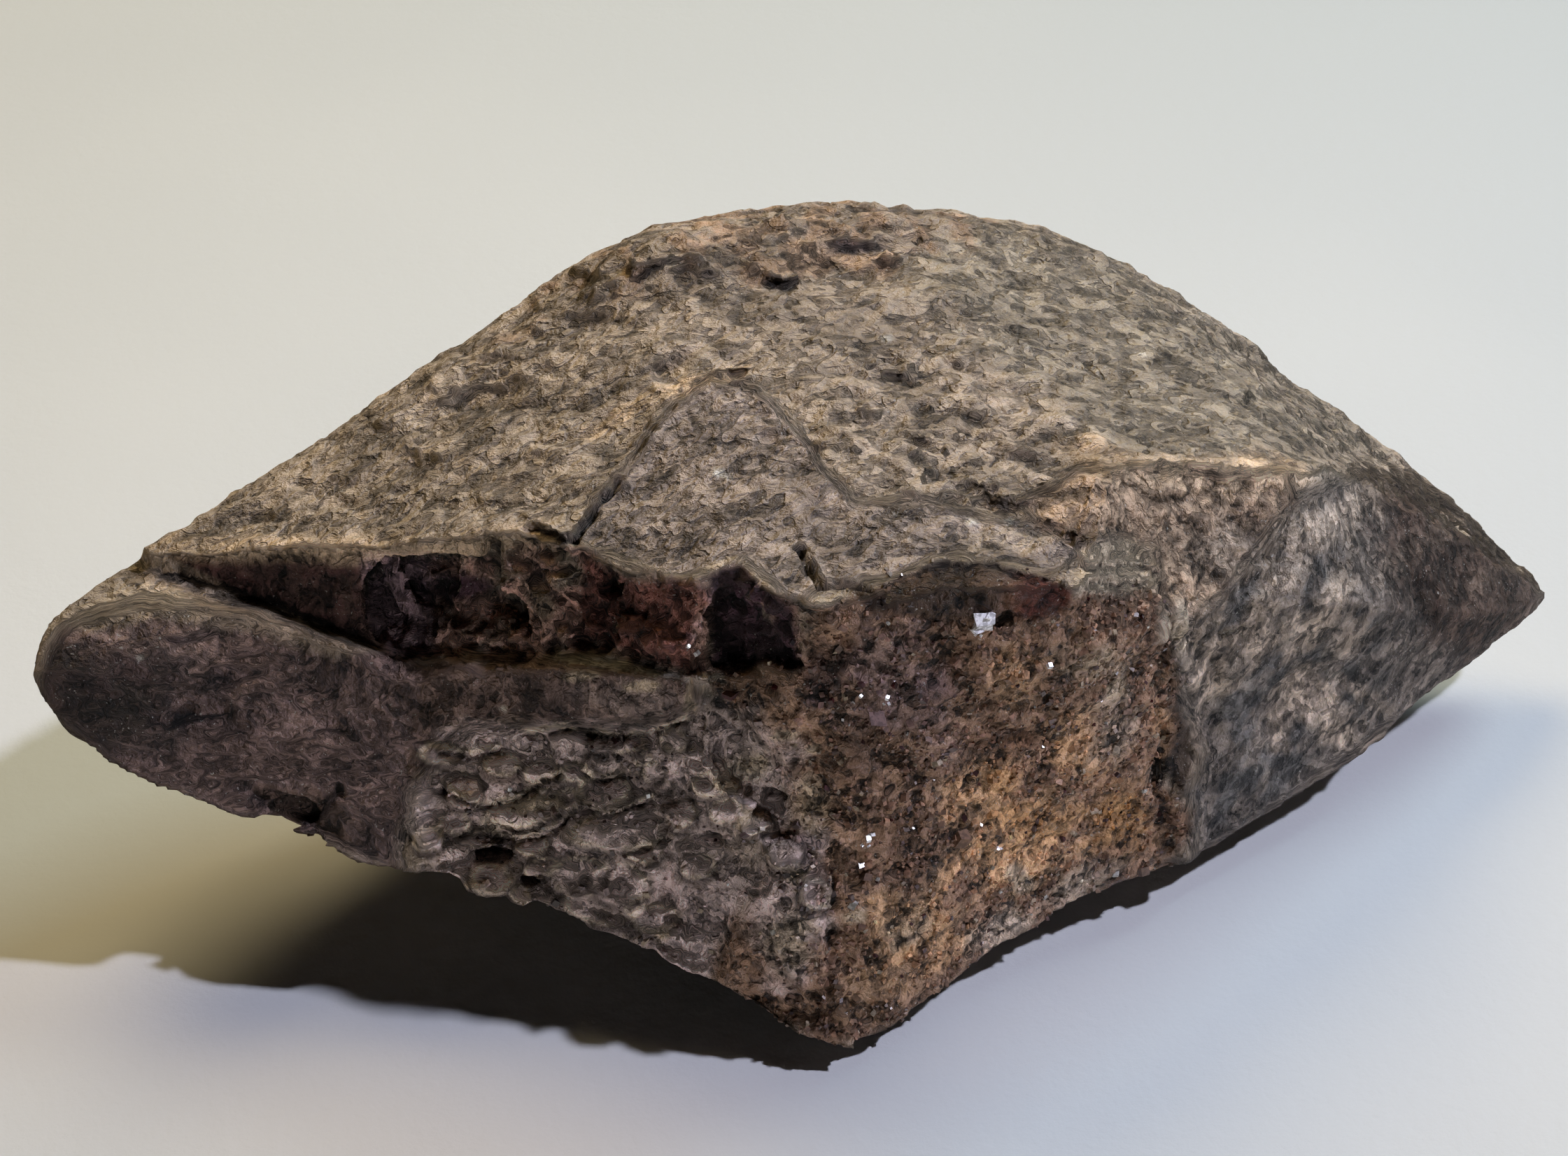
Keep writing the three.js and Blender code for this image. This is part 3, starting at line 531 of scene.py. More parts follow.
# Stains and spots of painted shade and highlight: pigment, strength, place, half width and half height, turn,
# softness and fraying of the edge.
# Painted shade in the groove of the right end, in a crack near its tip and in two hollows near the crest.
PAINTED_SHADE_SPOTS = [
    (GROOVE_PAINTED_SHADE, 0.9, 1503, 950, 20, 80, 5, 0.6, 0.4), (GROOVE_PAINTED_SHADE, 0.8, 1484, 850, 7, 34, 0, 0.6, 0.4),
    (GROOVE_PAINTED_SHADE, 0.8, 1812, 742, 15, 62, 22, 0.7, 0.5), (CREST_PAINTED_SHADE, 0.9, 1082, 316, 52, 16, 0, 0.6, 0.5),
    (CREST_PAINTED_SHADE, 0.5, 866, 456, 38, 16, 30, 0.6, 0.5),
]
WALL_STAINS = [
    (RED_BROWN, 0.9, 868, 770, 52, 42, 0, 0.5, 0.3), (CHAMFER, 0.5, 682, 768, 50, 38, 0, 0.7, 0.5),
]
# Pale spots of painted highlight where the relief keeps the nodules and the groove's ridge in shade, a stain
# of nose brown, and tan dust.
LAST_STAINS_AND_HIGHLIGHTS = [
    (CHIP_RIM_DUST_AND_HIGHLIGHT, 0.75, 1506, 800, 26, 38, 0, 0.7, 0.5), (CHIP_RIM_DUST_AND_HIGHLIGHT, 0.75, 680, 1024, 44, 11, 12, 0.7, 0.5),
    (CHIP_RIM_DUST_AND_HIGHLIGHT, 0.75, 945, 985, 44, 22, 10, 0.7, 0.5), (NOSE_BROWN, 0.4, 640, 985, 62, 26, 0, 0.8, 0.5),
    (TAN_DUST, 0.5, 1290, 690, 80, 26, 10, 0.8, 0.4),
]
# Stains of the broken front, with painted shade among them: pigment, strength, place, half width and half
# height, turn.
FRONT_COLOURS = [
    (VIOLET_BREAK, 1.0, 1130, 870, 110, 100, 10), (VIOLET_BREAK, 0.4, 1010, 1150, 50, 50, 0),
    (VIOLET_BREAK, 0.6, 1200, 960, 70, 40, 20), (NODULE_GREY, 0.9, 950, 980, 100, 100, 0),
    (NODULE_GREY, 0.5, 780, 890, 100, 40, 0), (NODULE_GREY, 0.8, 1000, 1150, 80, 130, 0),
    (RUST, 0.7, 1260, 1000, 90, 60, 20), (RUST, 0.9, 1300, 1080, 110, 80, 30),
    (RUST, 1.0, 1170, 1190, 110, 70, 35), (LIGHT_TAN, 0.6, 1160, 1180, 60, 40, 35),
    (RUST, 0.5, 1110, 1270, 60, 60, 0), (DARK_BROWN_AND_PIT_SHADE, 0.6, 1045, 860, 50, 60, 0),
    (GROOVE_PAINTED_SHADE, 0.5, 1110, 1280, 70, 40, -30), (GROOVE_PAINTED_SHADE, 0.5, 760, 1165, 110, 30, -22),
    (DARK_BROWN_AND_PIT_SHADE, 0.4, 1200, 870, 60, 40, 0), (LIGHT_TAN, 0.8, 940, 985, 60, 46, 0),
    (RUST, 0.6, 1370, 950, 50, 70, 0), (RUST, 0.5, 1290, 860, 40, 60, 0),
    (AMBER, 0.6, 1285, 950, 56, 30, 10), (OCHRE, 1.0, 1425, 1040, 66, 62, 0),
    (OCHRE, 0.7, 1320, 1050, 60, 40, 0), (OCHRE, 0.7, 1270, 995, 50, 24, 0),
    (OCHRE, 0.5, 1480, 930, 16, 60, 0), (OCHRE, 0.5, 1150, 1165, 40, 22, 30),
    (END_TAN, 0.5, 1425, 925, 48, 60, 0), (TAN_DUST, 0.6, 1400, 850, 60, 40, 0),
    (END_TAN, 0.7, 1375, 1130, 70, 26, 32), (END_TAN, 0.9, 1280, 1185, 60, 30, 38),
    (LIGHT_TAN, 0.8, 960, 1080, 60, 50, 0), (LIGHT_TAN, 0.7, 1035, 1020, 34, 50, 0),
    (LIGHT_TAN, 0.8, 1005, 1200, 50, 50, 0),
]
# Paler places of the right end: place, half width and half height, turn.
END_LIGHTS = [
    (1505, 800, 26, 34, 10), (1535, 860, 22, 60, -5), (1600, 800, 22, 90, -22), (1660, 700, 20, 60, -30),
    (1640, 900, 16, 60, -14), (1560, 700, 40, 40, 0), (1600, 815, 34, 34, 0), (1680, 800, 46, 34, 0),
    (1690, 900, 50, 34, -35), (1740, 640, 80, 26, 30), (1820, 690, 70, 26, 36), (1505, 800, 20, 40, 0),
    (1700, 760, 14, 60, -20), (1730, 880, 40, 14, -35), (1900, 740, 30, 20, 30), (1700, 930, 50, 20, -35),
]
# Ridges with dust along them.
SLAB_SIDE = [(884, 866), (880, 900), (883, 955)]
SHELF_RIDGE = [(205, 692), (400, 700), (560, 705), (690, 685)]
CHAMFER_RIDGE = [(1385, 560), (1405, 590), (1450, 596), (1560, 604), (1650, 596)]
YELLOW_RIDGE = [(755, 553), (794, 526), (833, 505), (872, 493), (950, 477)]
# Small pale marks: place and half width.
PALE_SPECKS = [
    (1132, 431, 9), (1221, 422, 7), (1310, 442, 7), (1458, 451, 9), (1239, 665, 8), (1286, 665, 9),
    (1145, 656, 6), (917, 603, 12), (928, 608, 7), (1066, 740, 5), (640, 905, 5), (180, 840, 6),
]
# Tan flakes on the front: place, half width and half height, turn.
TAN_FLAKES = [
    (1426, 875, 16, 12, 20), (1300, 1122, 16, 26, 30), (1000, 938, 22, 9, 10), (1040, 955, 12, 8, 0),
    (958, 1046, 20, 12, 30), (1018, 1118, 18, 12, 0), (1090, 1170, 20, 12, 0), (1046, 766, 16, 9, 0),
    (596, 806, 14, 7, 0), (845, 1190, 16, 20, 0), (667, 1026, 40, 12, 12), (1506, 800, 22, 38, 0),
    (745, 862, 30, 8, 5), (820, 874, 36, 8, 6), (960, 975, 26, 14, 10), (925, 1000, 20, 12, 0),
]
# Clear flat grains that catch the light: place and half size in millimetres.
GLINTS = [
    (1254, 793, 0.6), (1246, 804, 0.3), (1262, 786, 0.25), (1255, 793, 0.58), (889, 833, 0.15),
    (878, 824, 0.1), (1339, 849, 0.15), (1098, 888, 0.1), (1132, 890, 0.13), (1108, 1070, 0.18),
    (1100, 1078, 0.1), (1252, 1052, 0.1), (1165, 1056, 0.08), (1273, 1083, 0.08),
]


def rough_ball():
    """A closed ball of few faces, the start of every chip and scoop."""
    bpy.ops.object.select_all(action="DESELECT")
    bpy.ops.mesh.primitive_ico_sphere_add(subdivisions=3, radius=1)
    return bpy.context.object


class Chipper:
    """Makes chips and scoops of one ball and sets them on a skin."""

    def __init__(self, look):
        self.look = look
        self.ball = rough_ball()
        self.round = np.array([v.co[:] for v in self.ball.data.vertices])
        self.count = 0
        noise.seed_set(CHIP_SEED)

    def set(self, u, v, long, high, turn, tip, thick, sink, knobbly):
        """One chip: half sizes as seen, half thickness, how deep its middle sits, how knobbly it is."""
        place = self.look.hit(u, v)
        if place is None:
            return None
        self.count += 1
        out = self.look.mean_normal(place)
        lean = math.radians(turn)
        first = across * math.cos(lean) + upward * math.sin(lean)
        first -= out * (first @ out)
        first /= np.linalg.norm(first)
        second = np.cross(out, first)
        toward = ray_through(u, v)
        high /= max(0.4, math.sqrt(1 - (second @ toward) ** 2))
        swing = math.radians(tip)
        tipped = second * math.cos(swing) - out * math.sin(swing)
        out = out * math.cos(swing) + second * math.sin(swing)
        shape = np.sign(self.round) * np.abs(self.round) ** CHIP_ROUNDNESS
        shift = np.array([self.count * 7.1, 3.3, 9.1])
        bumps = np.array([noise.noise_vector(p * 1.3 + shift) for p in self.round])
        shape = shape + bumps * knobbly * 1.6
        shape = shape * np.array([long, high, thick])
        spread = place - out * sink + shape @ np.array([first, tipped, out])
        chip = bpy.data.objects.new("chip", self.ball.data.copy())
        bpy.context.scene.collection.objects.link(chip)
        put_points(chip, spread)
        return chip

    def done(self):
        """Takes the ball away again."""
        mesh = self.ball.data
        bpy.data.objects.remove(self.ball)
        bpy.data.meshes.remove(mesh)


def joined(pieces, main=None):
    """All the pieces as one object."""
    pieces = [piece for piece in pieces if piece]
    main = main or pieces[0]
    only(main)
    for piece in pieces:
        piece.select_set(True)
    bpy.ops.object.join()
    return main


def skin_of_stone():
    """The CAD solid as a fine even skin with its chips, rubble and small pits worked in."""
    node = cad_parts["glendonite"]
    piece = bpy.data.objects.new("stone", node.data.copy())
    bpy.context.scene.collection.objects.link(piece)
    piece.data.materials.clear()
    only(piece)
    bpy.ops.object.mode_set(mode="EDIT")
    bpy.ops.mesh.select_all(action="SELECT")
    bpy.ops.mesh.remove_doubles(threshold=0.002 * MM)
    bpy.ops.mesh.select_all(action="DESELECT")
    bpy.ops.mesh.select_mode(type="EDGE")
    bpy.ops.mesh.edges_select_sharp(sharpness=math.radians(CREASE_ANGLE))
    bpy.ops.transform.edge_crease(value=0.85)
    bpy.ops.object.mode_set(mode="OBJECT")
    apply_modifier(piece, "SUBSURF", levels=2, render_levels=2)

    look = Survey(piece)
    sunk = 0.75 * look.zone(CRUMBLY, 16, 10)
    sunk = np.maximum(sunk, 0.5 * look.dab(1548, 900, 26, 100, 0, 0.8))
    put_points(piece, look.points - look.normals * sunk[:, None])

    chipper = Chipper(Survey(piece))
    taken = []
    for u, v, long, high, turn, depth in HOLES:
        taken.append(chipper.set(u, v, long, high, turn, 0, depth, 0.1, 0.22))
    holes = joined(taken)
    apply_modifier(piece, "BOOLEAN", operation="DIFFERENCE", object=holes, solver=HOLE_SOLVER)
    bpy.data.objects.remove(holes)
    added = []
    for chips, half_thickness, sink, knobbly in CHIP_KINDS:
        for u, v, long, high, turn, tip in chips:
            thick = half_thickness or 0.8 * min(long, high) + 0.2
            added.append(chipper.set(u, v, long, high, turn, tip, thick, sink, knobbly))
    chipper.done()
    joined(added, piece)
    apply_modifier(piece, "REMESH", mode="VOXEL", voxel_size=SKIN_MESH * MM, use_smooth_shade=True)
    return piece


def hold(piece, name, weights):
    """A vertex group that lets a modifier work by these weights."""
    group = piece.vertex_groups.new(name=name)
    steps = np.round(np.clip(weights, 0, 1) * 20).astype(int)
    for step in range(1, 21):
        chosen = np.nonzero(steps == step)[0]
        if len(chosen):
            group.add(chosen.tolist(), step / 20, "REPLACE")
    return group.name


def relief(piece, group, height, size, kind="CLOUDS", stretch=None, vector=False, **settings):
    """Raises the skin by a texture whose bumps are size across; height is from lowest to highest."""
    texture = bpy.data.textures.new(f"relief_{len(bpy.data.textures)}", kind)
    texture.noise_scale = size * MM
    for name, value in settings.items():
        setattr(texture, name, value)
    wanted = {
        "texture": texture,
        "strength": height * MM,
        "mid_level": 0.5,
        "texture_coords": "LOCAL",
        "vertex_group": group,
        "direction": "RGB_TO_XYZ" if vector else "NORMAL",
    }
    frame_of_marks = None
    if stretch:
        frame_of_marks = bpy.data.objects.new("stretch", None)
        bpy.context.scene.collection.objects.link(frame_of_marks)
        turn, scale = stretch
        turned = Matrix.Rotation(math.radians(turn), 4, "Z")
        frame_of_marks.matrix_world = turned @ Matrix.Diagonal((*scale, 1))
        wanted["texture_coords"] = "OBJECT"
        wanted["texture_coords_object"] = frame_of_marks
        bpy.context.view_layer.update()
    apply_modifier(piece, "DISPLACE", **wanted)
    bpy.data.textures.remove(texture)
    if frame_of_marks:
        bpy.data.objects.remove(frame_of_marks)


def weather(piece):
    """The relief of each surface, from the broad to the fine."""
    look = Survey(piece)
    rough = look.zone(ROUGH_FRONT, 10, 10)
    crumbly = look.zone(CRUMBLY, 14, 14)
    nose = look.zone(NOSE, 14, 8)
    right_end = look.zone(RIGHT_END, 12, 6)
    plate = look.zone(PLATE, 8, 6)
    crest = look.zone(CREST, 16, 20)
    up_face = smoothstep(0.35, 0.7, look.normals[:, 2])
    everywhere = hold(piece, "everywhere", np.ones(len(look.points)))
    calm = hold(piece, "calm", 1 - 0.6 * np.maximum(nose, np.maximum(right_end, plate)))
    top = hold(piece, "top", up_face * (1 - 0.75 * plate) * (1 - rough))
    rugged = hold(piece, "rugged", np.maximum(crest, 0.25 * up_face * smoothstep(4, 14, look.points[:, 1])))
    flaky = hold(piece, "flaky", crumbly)
    grains = hold(piece, "grains", rough)
    chamfer = 0.55 * look.zone(CHAMFER_RUGGED, 16, 12)
    valley = hold(piece, "valley", np.maximum(look.zone(VALLEY, 18, 16) * 0.9, chamfer))
    ragged = hold(piece, "ragged", smoothstep(3.2, 0.8, look.line(PLATE_BACK) + 0.5 * look.fray) * up_face)
    rims = look.zone(TOP_FACES, 5, 2) * up_face
    pits = np.maximum(look.zone(BROKEN_WALL, 8, 6), look.zone(WEDGE_WALL, 5, 3) * 0.4) * (1 - rims)
    broken = hold(piece, "broken", pits)
    hidden = hold(piece, "hidden", (1 - look.seen) * (1 - up_face))
    relief(piece, everywhere, 0.5, 3.2, vector=True, cloud_type="COLOR", noise_depth=2)
    relief(piece, calm, 0.5, 4.2, noise_depth=4, noise_basis="IMPROVED_PERLIN")
    relief(piece, hidden, 1.2, 3.4, noise_depth=5, noise_basis="IMPROVED_PERLIN")
    relief(piece, top, 0.55, 1.6, stretch=(-GRAIN_TURN, (2.6, 1, 1)), noise_depth=4, noise_type="HARD_NOISE")
    relief(piece, rugged, 1.0, 2.8, noise_depth=5, noise_type="HARD_NOISE")
    relief(piece, valley, 1.3, 1.9, stretch=(-32, (2.4, 1, 1)), noise_depth=4, noise_type="HARD_NOISE")
    relief(piece, ragged, 1.0, 1.3, stretch=(-32, (1.8, 1, 1)), noise_depth=4, noise_type="HARD_NOISE")
    relief(piece, flaky, 0.9, 1.1, stretch=(-GRAIN_TURN, (1.6, 1, 1)), noise_depth=4)
    relief(piece, broken, 1.25, 1.2, noise_depth=4, noise_type="HARD_NOISE")
    relief(piece, grains, 0.8, 2.6, noise_depth=3)
    relief(piece, grains, 0.55, 1.2, noise_depth=3, noise_basis="VORONOI_F1")
    relief(piece, grains, 0.5, 0.7, noise_depth=2, noise_basis="VORONOI_F1")
    relief(piece, everywhere, 0.16, 0.8, noise_depth=2)
    piece.vertex_groups.clear()


def press_marks(piece):
    """Dents and cracks, pressed into the skin along its broad normals."""
    look = Survey(piece)
    out = relaxed(look.normals, look.links, 8)
    out /= np.linalg.norm(out, axis=1)[:, None]
    sunk = np.zeros(len(look.points))
    for u, v, long, high, turn, depth in DENTS:
        sunk += DENT_SHARE * depth * look.dab(u, v, long * 1.25, high * 1.25, turn, 0.9, 0.6)
    for places, half_width, depth, lip in CRACKS:
        away = look.line(places) + 0.25 * look.fine_fray
        sunk += depth * smoothstep(half_width * 1.6, half_width * 0.3, away) * look.seen
        near = smoothstep(half_width * 3.6, half_width * 1.6, away)
        outside = smoothstep(half_width * 0.6, half_width * 1.5, away)
        sunk -= lip * near * outside * look.seen
    back = np.zeros(len(look.points))
    for places, reach, depth in UNDERCUTS:
        back = np.maximum(back, UNDERCUT_SHARE * depth * look.below(places, reach))
    sights = look.points - EYE
    sights /= np.linalg.norm(sights, axis=1)[:, None]
    seam = smoothstep(3.4, 1.6, look.line(PLATE_BACK))[:, None]
    worn = seam * (relaxed(look.points, look.links, 60) - look.points)
    put_points(piece, look.points + worn - out * sunk[:, None] + sights * back[:, None])


def keep_in_box(points):
    """No point outside the solid's own box or under the ground."""
    low, high = np.array(cad_box[0]) / MM, np.array(cad_box[1]) / MM
    return np.clip(points, low, high)


def thin_out(piece):
    """Fewer faces where nobody looks, under the most that the stone may have."""
    look = Survey(piece)
    hidden = hold(piece, "hidden", 0.15 + 0.85 * (1 - look.seen))
    now = sum(len(face.vertices) - 2 for face in piece.data.polygons)
    apply_modifier(
        piece, "DECIMATE", ratio=MOST_TRIANGLES / now, vertex_group=hidden, vertex_group_factor=2.0,
        use_collapse_triangulate=True,
    )
    piece.vertex_groups.clear()


stone = skin_of_stone()
press_marks(stone)
weather(stone)
thin_out(stone)
put_points(stone, keep_in_box(points_of(stone)))


# ---- Colours and masks, as attributes of the stone ----


def store(piece, name, values):
    """Keeps one number, or one colour, at each vertex."""
    if values.ndim == 1:
        attribute = piece.data.attributes.new(name, "FLOAT", "POINT")
        attribute.data.foreach_set("value", values.astype(np.float32))
    else:
        attribute = piece.data.attributes.new(name, "FLOAT_COLOR", "POINT")
        full = np.concatenate([values, np.ones((len(values), 1))], axis=1)
        attribute.data.foreach_set("color", full.astype(np.float32).ravel())


def paint_of(piece):
    """The colours kept at the vertices of a piece."""
    flat = np.empty(len(piece.data.vertices) * 4, np.float32)
    piece.data.attributes["paint"].data.foreach_get("color", flat)
    return flat.reshape(-1, 4)[:, :3].astype(float)


class Paint:
    """Colour laid over the skin, coat by coat."""

    def __init__(self, look, first):
        self.look = look
        self.colour = np.tile(np.array(first, float), (len(look.points), 1))

    def lay(self, pigment, mask, strength=1.0):
        """One coat, as thick as its mask."""
        cover = np.clip(mask * strength, 0, 1)[:, None]
        self.colour = self.colour * (1 - cover) + np.array(pigment) * cover

    def stain(self, stains):
        """One coat for each spot of a table, be it a stain or painted shade and highlight."""
        for pigment, strength, u, v, wide, high, turn, soft, fray in stains:
            self.lay(pigment, self.look.dab(u, v, wide, high, turn, soft, fray), strength)


def coat_faces(look, paint, up, plate):
    """The top, the plate, the crest, the chamfer and the right end."""
    crest = look.zone(CREST, 22, 30)
    slate = look.zone(RIGHT_END, 14, 12) * (1 - 0.75 * look.zone(CHAMFER_RUGGED, 40, 25))
    paint.lay(UNDERSIDE, smoothstep(0.35, -0.35, up))
    paint.lay(OLIVE_SKIN, look.zone(TOP_RIGHT, 40, 30), 0.8)
    paint.lay(GREY_PLATE, plate, 0.8)
    paint.lay(CREST_EARTH, crest, 0.8)
    paint.lay(ORANGE_DUST, crest * smoothstep(-0.1, 0.4, look.fray), 0.6)
    paint.lay(CHAMFER, look.zone(CHAMFER_FACE, 14, 10))
    paint.lay(TAN_DUST, look.zone(SMALL_STEP, 6, 4), 0.8)
    paint.lay(SLATE, slate)
    paint.lay(SLATE_BLUE, look.zone(BLUE_STREAKS, 30, 30) * smoothstep(-0.3, 0.3, look.fray), 0.8)
    for u, v, wide, high, turn in END_LIGHTS:
        paint.lay(END_TAN, look.dab(u, v, 1.6 * wide, 1.3 * high, turn, 0.9, 0.4), 0.75)
    paint.lay(END_BROWN, look.zone(END_TIP, 30, 20), 0.9)
    # Painted shade in the groove, a crack and hollows.
    paint.stain(PAINTED_SHADE_SPOTS)


def coat_front(look, paint, rough, crumbly):
    """The blunt left end, the crumbly lower left and the broken front."""
    nose = look.zone(NOSE, 14, 10)
    broken = np.maximum(rough, 0.6 * crumbly)
    paint.lay(NOSE_BROWN, nose)
    paint.lay(NODULE_GREY, crumbly, 0.9)
    paint.lay(FRESH_BREAK, rough)
    for pigment, strength, u, v, wide, high, turn in FRONT_COLOURS:
        paint.lay(pigment, look.dab(u, v, wide, high, turn, 0.8, 0.5) * broken, strength)
    # Painted shade over the tip of the left end, where little light reaches.
    paint.lay(NOSE_PAINTED_SHADE, look.dab(120, 890, 230, 110, -20, 0.8, 0.3) * nose, 0.85)
    paint.lay(TAN_DUST, look.zone(SHELF, 10, 6), 0.65)
    paint.lay(NODULE_GREY, look.dab(800, 890, 100, 36, 0, 0.7, 0.4), 0.2)


def coat_edges(look, paint, up):
    """Worn edges, painted highlights on the slab's ledges, and each chip with painted shadow in the gap
    around it and a pale rim of dust and painted highlight.
    """
    for places in [PLATE_RIM, *SMALL_RIMS]:
        paint.lay(LIGHT_TAN, look.rim(places, 9) * smoothstep(0.2, 0.6, up), 0.7)
    # Pale paint on the slab's ledges: a painted highlight.
    for places in SLAB_RIMS:
        paint.lay(PALE_SCRATCH_AND_LEDGE_HIGHLIGHT, look.rim(places, 20) * smoothstep(-0.9, 0.2, look.fray), 0.8)
    paint.lay(LIGHT_TAN, smoothstep(0.55, 0.15, look.line(SLAB_SIDE) + 0.3 * look.fray), 0.8)
    paint.lay(YELLOW_DUST, smoothstep(1.1, 0.2, look.line(YELLOW_RIDGE) + 0.3 * look.fray), 0.8)
    # Pale lips above the chips' undercuts: dust and painted highlight.
    for places in CHIP_EDGES:
        paint.lay(CHIP_RIM_DUST_AND_HIGHLIGHT, look.rim(places), 0.9)
    # Painted shadow in the gap under and around each chip.
    for u, v, long, high, turn, _ in FLAKES:
        around = look.dab(u, v + 4, 19 * long + 9, 19 * high + 8, turn, 0.25, 0.15)
        chip = look.dab(u, v, 18 * long, 18 * high, turn, 0.2, 0.15)
        paint.lay(CHIP_GAP_PAINTED_SHADOW, np.clip(around - chip, 0, 1), 0.85)
    # A pale rim round each chip: dust and painted highlight.
    for u, v, long, high, turn, _ in FLAKES:
        chip = look.dab(u, v, 19 * long, 19 * high, turn, 0.2, 0.25)
        middle = look.dab(u, v, 15 * long, 14 * high, turn, 0.2, 0.25)
        paint.lay(CHIP_RIM_DUST_AND_HIGHLIGHT, np.clip(chip - middle, 0, 1) * smoothstep(-0.4, 0.2, look.fray), 0.9)


def coat_ledge(look, paint, wall):
    """The walls and pits under the top's front edge, with painted shade in the pits and painted shadow under
    the plate, and the dusty ridges beside them.
    """
    under_plate = look.zone(AMBER_SPOT, 6, 4)
    # The wall under the lip: its dark red-brown, darkened further as painted shade.
    paint.lay(WEDGE_BROWN_AND_SHADE, look.zone(WEDGE_WALL, 5, 3), 0.9)
    paint.lay(WALL_RUST, wall * smoothstep(-0.5, 0.2, look.fray), 0.8)
    paint.lay(PIT_VIOLET, look.zone(DEEP_PIT, 6, 4) * smoothstep(580, 540, look.u + 20 * look.fray))
    # Painted shade in the right part of the deep pit.
    paint.lay(DARK_BROWN_AND_PIT_SHADE, look.dab(585, 750, 56, 34, 0, 0.6, 0.4))
    paint.lay(RED_BROWN, look.zone(LEFT_ALCOVE, 6, 4))
    paint.stain(WALL_STAINS)
    # Painted shade in the right alcove.
    paint.lay(DARK_BROWN_AND_PIT_SHADE, look.zone(RIGHT_ALCOVE, 6, 4))
    # Painted shadow under the plate's overhanging edge; amber beyond it.
    paint.lay(UNDER_PLATE_SHADOW, under_plate * smoothstep(1310, 1270, look.u), 0.9)
    paint.lay(AMBER, under_plate * smoothstep(1270, 1310, look.u), 0.95)
    paint.lay(YELLOW_DUST, smoothstep(2.4, 0.4, look.line(CHAMFER_RIDGE) + look.fray), 0.8)
    paint.lay(YELLOW_DUST, smoothstep(1.6, 0.3, look.line(SHELF_RIDGE)), 0.6)


def coat_marks(look, paint):
    """Small pale marks, the last stains and painted highlights, last of all."""
    paint.stain(LAST_STAINS_AND_HIGHLIGHTS)
    for u, v, size in PALE_SPECKS:
        paint.lay(PALE_SCRATCH_AND_LEDGE_HIGHLIGHT, look.dab(u, v, size, 0.6 * size, 0, 0.6, 0.5), 0.9)
    for u, v, wide, high, turn in TAN_FLAKES:
        paint.lay(LIGHT_TAN, look.dab(u, v, wide, high, turn, 0.5, 0.6), 0.8)


def paint_stone(piece):
    """Keeps the colour of each vertex, and the masks that the material goes by."""
    look = Survey(piece)
    fine = ((look.points - relaxed(look.points, look.links, 4)) * look.normals).sum(1)
    broad = ((look.points - relaxed(look.points, look.links, 30)) * look.normals).sum(1)
    edge = smoothstep(0.02, 0.09, fine) * 0.5 + smoothstep(0.06, 0.4, broad) * 0.6
    # Concave places, which the material makes darker as painted shade.
    hollow_shade = smoothstep(0.02, 0.10, -fine) * 0.5 + smoothstep(0.08, 0.5, -broad) * 0.6
    up = look.normals[:, 2]
    top = smoothstep(0.35, 0.7, up)
    rough = look.zone(ROUGH_FRONT, 10, 14)
    crumbly = look.zone(CRUMBLY, 14, 14)
    plate = look.zone(PLATE, 8, 8)
    wall = look.zone(BROKEN_WALL, 8, 6) * (1 - look.zone(TOP_FACES, 5, 2) * top)

    paint = Paint(look, EARTH)
    coat_faces(look, paint, up, plate)
    coat_front(look, paint, rough, crumbly)
    coat_edges(look, paint, up)
    coat_ledge(look, paint, wall)
    coat_marks(look, paint)

    ends = np.maximum(look.zone(RIGHT_END, 12, 6), look.zone(CHAMFER_FACE, 10, 6))
    seam = smoothstep(3.2, 1.4, look.line(PLATE_BACK))
    hollow_shade = hollow_shade * (1 - np.maximum(0.75 * crumbly, 0.4 * wall))
    store(piece, "paint", paint.colour)
    store(piece, "grainy", rough)
    store(piece, "crown", top * (1 - 0.5 * plate))
    store(piece, "side", np.maximum(ends, 0.75 * look.zone(NOSE, 14, 8)))
    store(piece, "dust", np.clip(edge * (1 + 0.8 * crumbly) + 0.25 * crumbly, 0, 1.6))
    store(piece, "hollow_shade", np.clip(hollow_shade * (1 - 0.35 * top) * (1 - 0.7 * seam), 0, 1))


paint_stone(stone)


# ---- Materials ----


